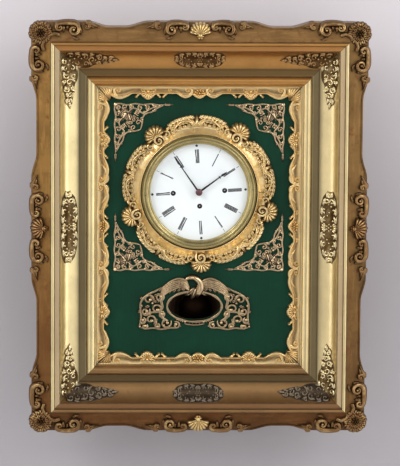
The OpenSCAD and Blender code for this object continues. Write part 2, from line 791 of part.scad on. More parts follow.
function angle_to(a, b) = atan2(b[1] - a[1], b[0] - a[0]);
function flip(p, s) = [s * p[0], p[1]];
// Turn of a wheel at a so that a tooth points at b, and of a pinion at b so that a gap faces a
function tooth_to(a, b) = angle_to(a, b);
function gap_to(b, a, n) = angle_to(b, a) + 180 / n;

// Flat work of the movement at p, from depth y0, t thick
module at(p, y0, t) turned() forwards(p[0], p[1], y0) linear_extrude(t) children();
module arbor(p, y0, y1, r = arbor_r) turned() rod(p[0], p[1], y0, y1, r);

module plate_plan() difference() {
    union() {
        translate([-plate_w / 2, plate_low]) square([plate_w, plate_top - plate_low]);
    }
    for (p = [[1, 1], [1, -1], [-1, 1], [-1, -1]])
        translate([p[0] * plate_w / 2, p[1] > 0 ? plate_top : plate_low]) circle(r = 5);
}

// Holes that both plates share, for the pivots of the trains
module pivot_holes(y0, y1) {
    for (p = [third_at, escape_at]) arbor(p, y0, y1, arbor_r + run);
    arbor([0, 0], y0, y1, 1.2 + run);
    arbor(anchor_at, y0, y1, arbor_r + run);
    arbor(going_at, y0, y1, barrel_arbor_r + run);
    for (s = [-1, 1]) {
        arbor(flip(strike_at, s), y0, y1, barrel_arbor_r + run);
        for (p = [pin_at, fly_at]) arbor(flip(p, s), y0, y1, arbor_r + run);
        arbor(flip(hammer_at, s), y0, y1, pin_r + run);
    }
}

module front_plate() color("gold") {
    difference() {
        at([0, 0], plate_front_in, plate_t) plate_plan();
        pivot_holes(plate_front_in - cut, plate_front + cut);
    }
    arbor(minute_at, plate_front, plate_front + 9.5, 1.2);
}

module back_plate() color("gold") difference() {
    at([0, 0], plate_back, plate_t) plate_plan();
    pivot_holes(plate_back - cut, plate_in + cut);
}

module pillars() color("gold") for (p = pillar_at) turned() forwards(p[0], p[1], plate_in)
    rotate_extrude() polygon([
        [0, 0], [4.5, 0], [4.5, 2], [3, 3.5], [2.6, plate_gap / 2 - 3], [3.8, plate_gap / 2],
        [2.6, plate_gap / 2 + 3], [3, plate_gap - 3.5], [4.5, plate_gap - 2], [4.5, plate_gap],
        [0, plate_gap]
    ]);

module movement_posts() color("gray") for (p = post_at) {
    arbor(p, back_face, plate_back, 4);
    arbor(p, back_face, back_face + 2.5, 7);
}

// Dial side

module winding_holes(y0, y1, r) for (p = [going_at, strike_at, flip(strike_at, -1)])
    arbor(p, y0, y1, r);

module dial_plate() color("gold") {
    difference() {
        arbor([0, 0], dial_back - dial_plate_t, dial_back, bezel_r - 1);
        winding_holes(dial_back - dial_plate_t - cut, dial_back + cut, winding_hole_r + 1);
        arbor([0, 0], dial_back - dial_plate_t - cut, dial_back + cut, hour_pipe_r + 1.5);
        for (s = [-1, 1]) arbor([s * screw_x, 0], dial_back - dial_plate_t - cut, dial_back + cut,
            screw_r + run);
    }
    for (p = foot_at) arbor(p, plate_front, dial_back - dial_plate_t, 2.5);
}

module dial() color("white") difference() {
    turned() forwards(0, 0, dial_back) rotate_extrude() polygon([
        [0, 0], [dial_r + 2, 0], [dial_r + 2, dial_t - 0.6], [dial_r + 1.4, dial_t], [0, dial_t]
    ]);
    winding_holes(dial_back - cut, dial_front + cut, winding_hole_r);
    arbor([0, 0], dial_back - cut, dial_front + cut, hour_pipe_r + 0.6);
}

screw_r = 1;
screw_x = dial_r + bezel_w * 0.62;
bezel_flat = bezel_h + dial_t - 3;

module bezel() color("olive") difference() {
    turned() forwards(0, 0, dial_back) rotate_extrude() union() {
        polygon([
            [dial_r + 2 + run, 0], [bezel_r, 0], [bezel_r, bezel_flat - 2],
            [bezel_r - 1.2, bezel_flat], [dial_r + 4.5, bezel_flat],
            [dial_r + 1.2, bezel_flat - 3], [dial_r, dial_t + 1.8], [dial_r, dial_t + run],
            [dial_r + 2 + run, dial_t + run]
        ]);
        translate([dial_r + bezel_w * 0.47, bezel_flat]) circle(r = 1.6);
        translate([bezel_r - 2.6, bezel_flat - 0.2]) circle(r = 1.3);
        translate([dial_r + 1.9, bezel_flat - 2.6]) circle(r = 1.5);
    }
    for (s = [-1, 1]) arbor([s * screw_x, 0], dial_back - cut, bezel_front + cut, screw_r + run);
}

module bezel_screws() color("dimgray") for (s = [-1, 1]) turned()
    forwards(s * screw_x, 0, dial_back - dial_plate_t) {
        cylinder(r = screw_r, h = dial_plate_t + bezel_flat + 0.4);
        translate([0, 0, -1.2]) cylinder(r = 2.2, h = 1.2);
    }

// Lengths of the leaves at the tips of the hands, beyond the small crosses
minute_leaf = 19.5;
hour_leaf = 14;

// A hand: a long taper with a small cross and a leaf at its end, along X from its hub
module hand_plan(l, knop, hub, bore, w) difference() {
    union() {
        circle(r = hub);
        polygon([[0, w], [knop, w * 0.45], [knop, -w * 0.45], [0, -w]]);
        polygon([[knop - 3.6, 0], [knop - 0.9, 0.9], [knop, 3], [knop + 0.9, 0.9], [knop + 4, 0],
            [knop + 0.9, -0.9], [knop, -3], [knop - 0.9, -0.9]]);
        polygon([[knop + 2, 0.5], [knop + (l - knop) * 0.35, 1.7], [knop + (l - knop) * 0.62, 1.2],
            [l, 0.35], [l, -0.35], [knop + (l - knop) * 0.62, -1.2],
            [knop + (l - knop) * 0.35, -1.7], [knop + 2, -0.5]]);
    }
    circle(r = bore);
}

// Angles of the hands as they stand at rest, measured on the clock from +X towards +Z
minute_angle = 124.9;
hour_angle = 36.5;

module minute_hand() color("midnightblue") {
    translate([0, 0, dial_z]) {
        upright(minute_hand_y, hand_t) rotate(minute_angle)
            hand_plan(minute_len, minute_len - minute_leaf, 4.4, 1.2 + run, 1.5);
        forwards(0, 0, minute_hand_y + hand_t) difference() {
            cylinder(r1 = 4, r2 = 3, h = 1);
            translate([0, 0, -cut]) cylinder(r = 1.2 + run, h = 4);
        }
    }
}

module hour_hand() color("midnightblue") translate([0, 0, dial_z])
    upright(hour_hand_y, hand_t) rotate(hour_angle)
        hand_plan(hour_len, hour_len - hour_leaf, 5.3, hour_pipe_r - 0.6 + run, 1.7);

// Motion work

motion_y = plate_front + 3.2;
hour_wheel_y = plate_front + 6.6;

module cannon_pinion() color("silver") difference() {
    union() {
        at([0, 0], motion_y - 0.6, 3) rotate(gap_to([0, 0], minute_at, cannon_n))
            polygon(teeth(cannon_n, cannon_m, true));
        arbor([0, 0], motion_y - 1.2, minute_hand_y - 0.1, pipe_r);
    }
    arbor([0, 0], plate_front, minute_hand_y + cut, 1.2 + run);
}

module minute_wheel() color("gold") difference() {
    union() {
        at(minute_at, motion_y, 1.4) rotate(tooth_to(minute_at, [0, 0]))
            polygon(teeth(minute_n, cannon_m));
        at(minute_at, motion_y + 1.4, 3.9) rotate(gap_to(minute_at, [0, 0], minute_pinion_n))
            polygon(teeth(minute_pinion_n, hour_m, true));
    }
    arbor(minute_at, motion_y - cut, motion_y + 8, 1.2 + run);
}

module hour_wheel() color("gold") difference() {
    union() {
        at([0, 0], hour_wheel_y, 1.4) rotate(tooth_to([0, 0], minute_at))
            polygon(teeth(hour_n, hour_m));
        arbor([0, 0], hour_wheel_y, hour_hand_y - 0.3, hour_pipe_r);
        arbor([0, 0], hour_hand_y - 0.4, hour_hand_y + hand_t, hour_pipe_r - 0.6);
    }
    arbor([0, 0], hour_wheel_y - cut, hour_hand_y + 3, pipe_r + run);
}

// Going train

module centre_wheel() color("gold") {
    arbor([0, 0], plate_back, minute_hand_y + hand_t + 1.6, 1.2);
    at([0, 0], centre_y, 1.5) rotate(tooth_to([0, 0], third_at)) crossed(centre_n, centre_m, 4, 5);
    arbor([0, 0], centre_y - 1, centre_y + 2.3, 3);
    at([0, 0], great_y - 1.2, 5) rotate(gap_to([0, 0], going_at, centre_pinion_n))
        polygon(teeth(centre_pinion_n, great_m, true));
}

module third_wheel() color("gold") {
    arbor(third_at, plate_back, plate_front, arbor_r);
    at(third_at, third_wheel_y, 1.3) rotate(tooth_to(third_at, escape_at))
        crossed(third_n, third_m, 3.6, 4);
    at(third_at, centre_y - 1, third_wheel_y - centre_y + 1)
        rotate(gap_to(third_at, [0, 0], third_pinion_n))
            polygon(teeth(third_pinion_n, centre_m, true));
}

// Escape wheel with pointed teeth that lean forward
module escape_plan() difference() {
    polygon([for (i = [0 : escape_n - 1]) each [
        polar(escape_r, 360 * i / escape_n),
        polar(escape_r - 0.2, 360 * (i + 0.09) / escape_n),
        polar(escape_r - 2.2, 360 * (i + 0.42) / escape_n),
        polar(escape_r - 2.2, 360 * (i + 0.9) / escape_n)
    ]]);
    for (i = [0 : 3])
        polygon(crossing(3.2, escape_r - 4, 90 * i, 90 * (i + 1), 0.9));
}

module escape_wheel() color("gold") {
    arbor(escape_at, plate_back, plate_front, arbor_r);
    at(escape_at, escape_y, 1.2) escape_plan();
    at(escape_at, third_wheel_y - 0.7, 2.8) rotate(gap_to(escape_at, third_at, escape_pinion_n))
        polygon(teeth(escape_pinion_n, third_m, true));
}

// Anchor: two arms that reach down to pallets just outside the escape wheel's tips
pallet_angle = 38;
crutch_len = 62;

module anchor_plan() {
    drop = anchor_at[1] - escape_at[1];
    tip_r = escape_r + seat;
    for (s = [-1, 1]) {
        tip = [s * tip_r * sin(pallet_angle), tip_r * cos(pallet_angle) - drop];
        bend = [s * (escape_r * 0.86 + 2), -drop * 0.1];
        polygon(ribbon([[0, 0.5], [s * escape_r * 0.45, 1.2], bend, tip + [s * 1.4, 0.8]],
            [2, 1.6, 1.5, 0.6]));
    }
    circle(r = 3);
}

module pallet_anchor() color("silver") {
    p = at_dial(anchor_at);
    arbor(anchor_at, plate_back - 6, plate_front, arbor_r);
    at(anchor_at, escape_y, 1.2) difference() {
        anchor_plan();
        translate(escape_at - anchor_at) circle(r = escape_r + seat);
    }
    // crutch, straight down behind the plate, with a fork round the rod
    translate([p[0], 0, p[1]]) {
        upright(plate_back - 5.5, 1.8) difference() {
            union() {
                circle(r = 2.6);
                translate([-1.2, -crutch_len]) square([2.4, crutch_len]);
                translate([-4, -crutch_len - 3]) square([8, 5]);
            }
        }
        for (s = [-1, 1]) translate([s > 0 ? rod_r + 0.2 : -rod_r - 2, -plate_back + 4, -crutch_len - 3])
            cube([1.8, 11, 5]);
    }
}

// Pendulum

rod_r = 1.5;
strip_len = 12;
nut_h = 4;

module suspension_cock() color("gold") {
    p = at_dial(anchor_at);
    translate([p[0], 0, p[1]]) {
        translate([-7, -plate_back, 3]) cube([14, plate_back - pendulum_y - 4, 9]);
        translate([-4, -pendulum_y - 5, 0.15]) cube([8, 9, 11.85]);
    }
}

module pendulum_rod() color("gold") {
    p = at_dial(anchor_at);
    translate([p[0], -pendulum_y, p[1]]) {
        translate([-0.15, -2.5, -strip_len]) cube([0.3, 5, strip_len]);
        translate([-2.5, -3.2, -strip_len - 5]) cube([5, 6.4, 5]);
        translate([0, 0, -pendulum_len - bob_r - 16])
            cylinder(r = rod_r, h = pendulum_len + bob_r + 16 - strip_len - 4.5);
    }
}

// Lens of radius r and thickness t about the Z axis, centred
module lens(r, t) rotate_extrude() intersection() {
    ball = (r * r + t * t / 4) / t;
    translate([0, ball - t / 2]) circle(r = ball);
    translate([0, t / 2 - ball]) circle(r = ball);
    translate([0, -t]) square([r + cut, 2 * t]);
}

module pendulum_bob() color("saddlebrown") {
    p = at_dial(anchor_at);
    translate([p[0], -pendulum_y, p[1] - pendulum_len]) difference() {
        rotate([90, 0, 0]) lens(bob_r, bob_t);
        cylinder(r = rod_r + run, h = 2 * bob_r + 2, center = true);
    }
}

module rating_nut() color("gold") {
    p = at_dial(anchor_at);
    translate([p[0], -pendulum_y, p[1] - pendulum_len - bob_r - seat - nut_h]) difference() {
        union() {
            cylinder(r = 5, h = nut_h - 1.2);
            cylinder(r = 2.8, h = nut_h);
        }
        translate([0, 0, -cut]) cylinder(r = rod_r + run, h = nut_h + 2 * cut);
    }
}

// Barrels with their great wheels, and the winding arbors through them

module barrel(p, n, drum_r, phase) color("gold") difference() {
    union() {
        at(p, great_y, 2.5) rotate(phase) polygon(teeth(n, great_m));
        arbor(p, drum_y, drum_end, drum_r);
        arbor(p, drum_end, drum_end + 1.2, drum_r - 1.2);
    }
    arbor(p, great_y - cut, drum_end + 3, barrel_arbor_r + run);
}

ratchet_r = 9;
square_half = 1.9;

module winding_arbor(p) color("silver") {
    arbor(p, plate_back, plate_front + 2.6, barrel_arbor_r);
    at(p, plate_front + 0.3, 2) ratchet(ratchet_r, 18);
    at(p, plate_front + 2, dial_front - 1.2 - plate_front - 2)
        square(2 * square_half, center = true);
}

module going_barrel()
    barrel(going_at, great_n, 17.5, tooth_to(going_at, [0, 0]));
module going_arbor() winding_arbor(going_at);
module hour_barrel()
    barrel(flip(strike_at, -1), strike_n, 20, tooth_to(flip(strike_at, -1), flip(pin_at, -1)));
module hour_arbor() winding_arbor(flip(strike_at, -1));
module quarter_barrel()
    barrel(strike_at, strike_n, 20, tooth_to(strike_at, pin_at));
module quarter_arbor() winding_arbor(strike_at);

// Strike work

pins = 8;
pin_ring_r = 11.5;

module pin_wheel(s) color("gold") {
    p = flip(pin_at, s);
    arbor(p, plate_back, plate_front, arbor_r);
    at(p, centre_y, 1.5) rotate(tooth_to(p, flip(fly_at, s))) crossed(pin_n, pin_m, 3.6, 4, 2.8);
    at(p, great_y - 1, 4.5) rotate(gap_to(p, flip(strike_at, s), strike_pinion_n))
        polygon(teeth(strike_pinion_n, great_m, true));
    for (i = [0 : pins - 1]) let (q = p + polar(pin_ring_r + 1.1, 360 / pins * (i + 0.5)))
        arbor(q, centre_y - 2.6, centre_y + 0.4, 0.7);
}

module hour_pin_wheel() pin_wheel(-1);
module quarter_pin_wheel() pin_wheel(1);

fly_r = 10.5;

module fly(s) color("gold") {
    p = flip(fly_at, s);
    arbor(p, plate_back, plate_front, arbor_r);
    at(p, centre_y - 1, 3.6) rotate(gap_to(p, flip(pin_at, s), fly_pinion_n))
        polygon(teeth(fly_pinion_n, pin_m, true));
    at(p, great_y + 2, 18) square([2 * fly_r, 0.7], center = true);
}

module hour_fly() fly(-1);
module quarter_fly() fly(1);

// Gongs: one wire each, wound in a flat spiral whose outer end is held in the block

gong_turns = 4.5;
gong_in = 20;
gong_out = 58;
hour_gong_y = back_face + 5.5;
quarter_gong_y = hour_gong_y + 6;
gong_rings = 24;
gong_sides = 6;
gong_pitch = (gong_out - gong_in) / gong_turns;
block_half = 9;

// Angle short of the bottom where the spiral ends, and the straight end's direction from there
gong_stop = asin((block_half + 4) / gong_out);
function gong_end(s) = polar(gong_out, -90 + s * gong_stop);
function gong_dir(s) = [-s * cos(gong_stop), -sin(gong_stop)];

// Points of the wire from its inner end: the spiral and a straight end in the block, which it
// enters from the side s
function gong_path(s) = let (n = gong_turns * gong_rings) concat(
    [for (i = [0 : n]) polar(gong_in + (gong_out - gong_in) * i / n,
        -90 + s * gong_stop + s * (n - i) * 360 / gong_rings)],
    [gong_end(s) + 4 * gong_dir(s), gong_end(s) + 11 * gong_dir(s)]
);

// Skin of a round wire along points in a plane, as one closed tube
module wire(pts, r) {
    n = len(pts);
    rings = [for (i = [0 : n - 1]) let (
        d = pts[min(i + 1, n - 1)] - pts[max(i - 1, 0)],
        side = [-d[1], d[0]] / norm(d)
    ) for (j = [0 : gong_sides - 1]) let (c = polar(r, 360 * j / gong_sides))
        [pts[i][0] + side[0] * c[0], pts[i][1] + side[1] * c[0], c[1]]];
    polyhedron(rings, concat(
        [[for (j = [gong_sides - 1 : -1 : 0]) j]],
        [for (i = [0 : n - 2]) for (j = [0 : gong_sides - 1]) let (
            a = i * gong_sides + j, b = i * gong_sides + (j + 1) % gong_sides
        ) each [[a, b, b + gong_sides], [a, b + gong_sides, a + gong_sides]]],
        [[for (j = [0 : gong_sides - 1]) (n - 1) * gong_sides + j]]
    ));
}

// Least gap between turns of a wire of radius r, measured on its points
function least_gap(pts, r) = min([for (i = [0 : 2 : len(pts) - 1])
    for (j = [i + gong_rings / 2 : len(pts) - 1]) norm(pts[i] - pts[j])]) - 2 * r;

module gong(s, y, r) color("gray") turned() translate([0, -y, 0]) rotate([90, 0, 0])
    wire(gong_path(s), r);

quarter_wire = gong_wire * 0.85;

module hour_gong() gong(-1, hour_gong_y, gong_wire);
module quarter_gong() gong(1, quarter_gong_y, quarter_wire);

module gong_block() color("gray") difference() {
    turned() translate([-block_half, -quarter_gong_y - 4, -gong_out - 9])
        cube([2 * block_half, quarter_gong_y + 4 - back_face, gong_pitch + 8 - 2 * gong_wire]);
    for (g = [[-1, hour_gong_y, gong_wire], [1, quarter_gong_y, quarter_wire]])
        turned() translate([gong_end(g[0])[0], -g[1], gong_end(g[0])[1]])
            rotate([0, -g[0] * (90 + gong_stop), 0])
                translate([0, 0, 1]) cylinder(r = g[2] + run, h = 11);
}

// A hammer: an arbor through both plates, an arm behind them and a head below its gong
head_r = 4;
head_len = 10;
head_at = [24, -61];

module hammer(s, y) color("gold") {
    p = flip(hammer_at, s);
    q = flip(head_at, s);
    arbor(p, plate_back - 6, plate_front, pin_r);
    at([0, 0], plate_back - 6, 2) {
        polygon(ribbon([p, q], [2, 1.5]));
        translate(p) circle(r = 3.4);
    }
    arbor(q, y, plate_back - 4, 1.5);
    turned() translate([q[0], -y, q[1] - head_len / 2]) cylinder(r = head_r, h = head_len);
}

module hour_hammer() hammer(-1, hour_gong_y);
module quarter_hammer() hammer(1, quarter_gong_y);

echo(hour_gong_least_gap = least_gap(gong_path(-1), gong_wire));
echo(quarter_gong_least_gap = least_gap(gong_path(1), quarter_wire));

back_board();
box_sides();
box_ends();
hanging_plate();
box_hinge_leaves();
hinge_pins();
catch_hook();
frame_top();
frame_bottom();
frame_left();
frame_right();
liner_top();
liner_bottom();
liner_left();
liner_right();
door_panel();
dial_surround();
spandrels();
window_ornament();
cove_ornaments();
corner_clusters();
edge_crests();
frame_hinge_leaves();
catch_stud();
movement_posts();
front_plate();
back_plate();
pillars();
dial_plate();
dial();
bezel();
bezel_screws();
suspension_cock();
gong_block();
hour_gong();
quarter_gong();
minute_hand();
cannon_pinion();
centre_wheel();
hour_hand();
hour_wheel();
minute_wheel();
third_wheel();
escape_wheel();
pallet_anchor();
pendulum_rod();
pendulum_bob();
rating_nut();
going_barrel();
going_arbor();
hour_barrel();
hour_arbor();
quarter_barrel();
quarter_arbor();
hour_pin_wheel();
quarter_pin_wheel();
hour_fly();
quarter_fly();
hour_hammer();
quarter_hammer();
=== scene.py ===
"""Picture frame clock: finishes, carved and cast ornament, dial figures, camera and light."""

import math

import bmesh
import bpy
import numpy as np
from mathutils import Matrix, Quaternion, Vector


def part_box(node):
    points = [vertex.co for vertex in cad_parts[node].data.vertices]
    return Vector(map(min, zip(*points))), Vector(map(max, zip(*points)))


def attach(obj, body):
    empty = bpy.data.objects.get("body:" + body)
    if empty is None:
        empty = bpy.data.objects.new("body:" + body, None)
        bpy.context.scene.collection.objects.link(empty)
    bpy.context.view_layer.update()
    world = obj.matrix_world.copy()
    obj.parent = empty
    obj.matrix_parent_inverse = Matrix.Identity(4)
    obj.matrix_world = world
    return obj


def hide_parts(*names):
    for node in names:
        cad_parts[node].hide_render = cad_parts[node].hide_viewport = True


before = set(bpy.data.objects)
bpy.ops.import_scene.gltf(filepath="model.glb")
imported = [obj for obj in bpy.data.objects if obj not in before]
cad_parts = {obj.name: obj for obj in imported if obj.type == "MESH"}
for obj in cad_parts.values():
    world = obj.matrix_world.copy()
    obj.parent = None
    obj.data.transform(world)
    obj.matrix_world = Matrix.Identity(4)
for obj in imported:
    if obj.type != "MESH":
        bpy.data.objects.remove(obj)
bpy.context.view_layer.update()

MM = 0.001
TAU = 2 * math.pi

# Sizes of the clock in millimetres, as its construction has them
WAIST_W, WAIST_H = 507.0, 627.0      # frame at the waists of its swept edges
SWEEP = 8.0                          # how far corners and crests stand out beyond the waists
EDGE_H, BAND_H = 35.0, 43.0          # height of the outer band at its edge and at its bead
BAND_W, BEAD_W = 22.5, 5.5
COVE_AT, VALLEY_AT = 37.0, 66.5      # where the cove starts and ends, in from the waist
FILLET_H = 42.0                      # height of the fillet at the cove's edge
COVE_H, COVE_R = 20.0, 30.78         # foot and radius of the cove
RAIL_W, LINER_W = 93.5, 19.0
LINER_GAP = 0.2                      # clearance between rail and liner
BEZEL_R = 89.0
TILT = math.radians(3.2)             # turn of the movement, seen from the front

# Depths are distances from the wall
door_low, door_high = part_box("door_panel")
DOOR_BACK = -door_high.y / MM
PANEL = -door_low.y / MM
DIAL_FRONT = -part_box("dial")[0].y / MM


def middle_of(node):
    """Middle of a node in millimetres, as it is seen from the front."""
    low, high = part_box(node)
    return (low.x + high.x) / 2 / MM, (low.z + high.z) / 2 / MM


DIAL_X, DIAL_Z = middle_of("bezel")


def half_of_waist(side):
    """Distance from the middle to the waist line of a side: 0 top, 1 right, 2 bottom, 3 left."""
    return (WAIST_W if side % 2 else WAIST_H) / 2


def half_length(side):
    """Half the length of a side, between the waist lines of its neighbours."""
    return (WAIST_H if side % 2 else WAIST_W) / 2


# Camera: the photograph's view, and its frame taken as 400 by 466 pixels

IMAGE_H = 466
CAM_AZIMUTH, CAM_ELEVATION, CAM_ROLL = math.radians(-1.7), math.radians(8.25), math.radians(0.34)
CAM_DISTANCE = 5.5
CAM_TARGET = Vector((0.0021, -0.1, -0.0113))
FOCAL_PIXELS = 3511.0
SENSOR = 36.0
CLIP_END = 60.0


def make_camera():
    """A camera on a sphere about the target, turned to look at it and rolled a little."""
    data = bpy.data.cameras.new("camera")
    data.sensor_fit = "VERTICAL"
    data.sensor_height = SENSOR
    data.lens = FOCAL_PIXELS * SENSOR / IMAGE_H
    data.clip_end = CLIP_END
    camera = bpy.data.objects.new("camera", data)
    flat = math.cos(CAM_ELEVATION)
    away = Vector((math.sin(CAM_AZIMUTH) * flat, -math.cos(CAM_AZIMUTH) * flat, math.sin(CAM_ELEVATION)))
    camera.location = CAM_TARGET + away * CAM_DISTANCE
    turned = (-away).to_track_quat("-Z", "Y") @ Quaternion((0, 0, 1), CAM_ROLL)
    camera.rotation_euler = turned.to_euler()
    bpy.context.scene.collection.objects.link(camera)
    bpy.context.scene.camera = camera


make_camera()
bpy.context.scene.view_settings.view_transform = "Standard"


# Shader maths: a wrapped socket takes part in expressions, and each step adds its node


def maths(kind, swapped=False):
    """A method that adds one Math node to a value and to what it is given, or the other way round."""
    def method(self, *others):
        values = (*others, self) if swapped else (self, *others)
        return self.shop.node("ShaderNodeMath", {"operation": kind}, *values)

    return method


class Value:
    """A number or a colour in a material, with the operators that the finishes use."""

    def __init__(self, shop, socket):
        self.shop = shop
        self.socket = socket

    __add__ = __radd__ = maths("ADD")
    __sub__ = maths("SUBTRACT")
    __rsub__ = maths("SUBTRACT", swapped=True)
    __mul__ = __rmul__ = maths("MULTIPLY")
    __pow__ = maths("POWER")
    __abs__ = maths("ABSOLUTE")
    least = maths("MINIMUM")
    most = maths("MAXIMUM")
    sine = maths("SINE")

    def span(self, low, high):
        """0 up to low, 1 from high, smooth between them."""
        smooth = {"interpolation_type": "SMOOTHSTEP"}
        return self.shop.node("ShaderNodeMapRange", smooth, self, low, high, 0.0, 1.0)


class Workshop:
    """Builds one material: a Principled finish and the nodes that vary over its surface."""

    def __init__(self, name):
        self.material = bpy.data.materials.new(name)
        self.material.use_nodes = True
        self.tree = self.material.node_tree
        self.shader = self.tree.nodes["Principled BSDF"]
        self.place = Value(self, self.tree.nodes.new("ShaderNodeTexCoord").outputs["Object"])

    def node(self, kind, settings, *inputs, output=0):
        """Adds a node: its settings first, then the values or links of its sockets in turn."""
        made = self.tree.nodes.new(kind)
        for name, value in settings.items():
            setattr(made, name, value)
        for socket, value in zip(made.inputs, inputs):
            if isinstance(value, Value):
                self.tree.links.new(value.socket, socket)
            elif value is not None:
                socket.default_value = value
        return Value(self, made.outputs[output])

    def noise(self, size, detail=3.0, rough=0.55, stretch=(1, 1, 1), shift=0.0):
        """Cloudy noise between 0 and 1 whose patches are about size millimetres wide."""
        scale = tuple(1 / (size * MM * s) for s in stretch)
        place = (shift, shift * 0.7, shift * 1.3)
        mapped = self.node("ShaderNodeMapping", {}, self.place, place, None, scale)
        return self.node("ShaderNodeTexNoise", {}, mapped, None, 1.0, detail, rough)

    def axis(self, name):
        """One Object coordinate, in millimetres."""
        split = self.node("ShaderNodeSeparateXYZ", {}, self.place, output="XYZ".index(name))
        return split * (1 / MM)

    def relief(self):
        """How high a point of the carving stands: 0 in its hollows and 1 on its tops. The finishes paint low
        places darker, partly as dirt and tarnish, partly as painted shade.
        """
        return self.node("ShaderNodeAttribute", {"attribute_name": "relief"}, output=2)

    def mix(self, mask, low, high):
        """Colour low where the mask is 0 and colour high where it is 1."""
        colours = [value if isinstance(value, Value) else (*value, 1.0) for value in (low, high)]
        unused = [None] * 5
        return self.node("ShaderNodeMix", {"data_type": "RGBA"}, mask, *unused, *colours, output=2)

    def surface(self, colour, rough, metal=None, **fixed):
        """Links what varies over the surface and sets what is the same all over it."""
        for name, value in (("Base Color", colour), ("Roughness", rough), ("Metallic", metal)):
            if value is not None:
                self.tree.links.new(value.socket, self.shader.inputs[name])
        for name, value in fixed.items():
            self.shader.inputs[name.replace("_", " ")].default_value = value

    def bump(self, height, depth_mm, strength):
        """Relief of the surface; height runs from 0 to 1 and depth_mm is how deep that is."""
        made = self.tree.nodes.new("ShaderNodeBump")
        made.inputs["Strength"].default_value = strength
        made.inputs["Distance"].default_value = depth_mm * MM
        self.tree.links.new(height.socket, made.inputs["Height"])
        self.tree.links.new(made.outputs[0], self.shader.inputs["Normal"])


def shade(colour, share):
    """A colour made lighter or darker by a share."""
    return tuple(min(1.0, c * share) for c in colour)


# Finishes

GRIME_AND_SHADE = (0.06, 0.034, 0.016)
DUST = (0.055, 0.038, 0.024)
DUSTY_SHADED_VALLEY = (0.105, 0.075, 0.036)
RAIL_BOLE = (0.18, 0.05, 0.02)
BARE_WOOD = ((0.25, 0.155, 0.085), (0.13, 0.075, 0.040))
GREENS = ((0.0017, 0.037, 0.0175), (0.0014, 0.025, 0.0125), (0.0035, 0.050, 0.027))
NICKED_PAINT = (0.05, 0.09, 0.05)
WHITES = ((0.84, 0.885, 0.90), (0.80, 0.855, 0.875))
ENAMEL_SPECK = (0.45, 0.45, 0.42)
BLACKS = ((0.012, 0.012, 0.014), (0.03, 0.03, 0.034))


def gilding(name, leaf, deep, bole, rough=(0.24, 0.42), metal=0.92, wear=0.5, dirt=0.6, rub_and_highlight=None):
    """Gold leaf over red bole on a plaster ground.

    The leaf's colour drifts in clouds, thin places let the bole through, the hollows are darkened
    by dust and size and by painted shade, and fine scratches, grain and the crazed ground show in
    the roughness and relief. Where a bright colour is given for it, the highest places are made
    bright in patches: rubbed leaf, and a painted highlight.
    """
    shop = Workshop(name)
    clouds = shop.noise(70, 4, 0.6)
    patches = shop.noise(16, 5, 0.62, shift=3.1)
    grain = shop.noise(1.6, 3, 0.7, shift=1.7)
    rubbed = (patches * 0.62 + grain * 0.38 + (clouds - 0.5) * 0.5).span(0.66 - 0.16 * wear, 0.74)
    gold = shop.mix(clouds.span(0.3, 0.7), leaf, shade(leaf, 0.78))
    gold = shop.mix(patches.span(0.52, 0.8) * 0.35, gold, shade(leaf, 1.22))
    gold = shop.mix(rubbed * wear, gold, bole)
    soot = shop.noise(5, 4, 0.65, shift=8.3)
    height = shop.relief()
    # Rubbed leaf and painted highlight: the highest places turn bright in patches.
    if rub_and_highlight:
        gold = shop.mix(height.span(0.8, 0.98) * patches.span(0.46, 0.66), gold, rub_and_highlight)
    # Dust and size, and painted shade: the hollows darken towards the deep colour.
    hollow = 1 - height.span(0.05, 0.62)
    dirt_and_shade = (hollow * (0.65 + soot * 0.7)).least(1.0) * dirt
    shop.surface(
        shop.mix(dirt_and_shade, gold, deep),
        rough[0] + patches * (rough[1] - rough[0]) + dirt_and_shade * 0.3 + rubbed * 0.12,
        (metal - dirt_and_shade * 0.15 - rubbed * 0.3 * wear).most(0.0),
        Specular_IOR_Level=0.15,
    )
    shop.bump(patches * 0.35 + grain * 0.65, 0.22, 0.5)
    return shop.material


def bare_back(shop, colour, rough, metal=None, **fixed):
    """Bare, dusty wood on the back of a piece of the frame, and its finish everywhere else."""
    front = (shop.axis("Y") * -1).span(DOOR_BACK + 0.3, DOOR_BACK + 1.2)
    grain = shop.noise(6, 4, 0.6, stretch=(1, 1, 12), shift=13.0)
    wood = shop.mix(grain.span(0.35, 0.7), *BARE_WOOD)
    metal = None if metal is None else metal * front
    shop.surface(shop.mix(front, wood, colour), rough * front + (1 - front) * 0.7, metal, **fixed)


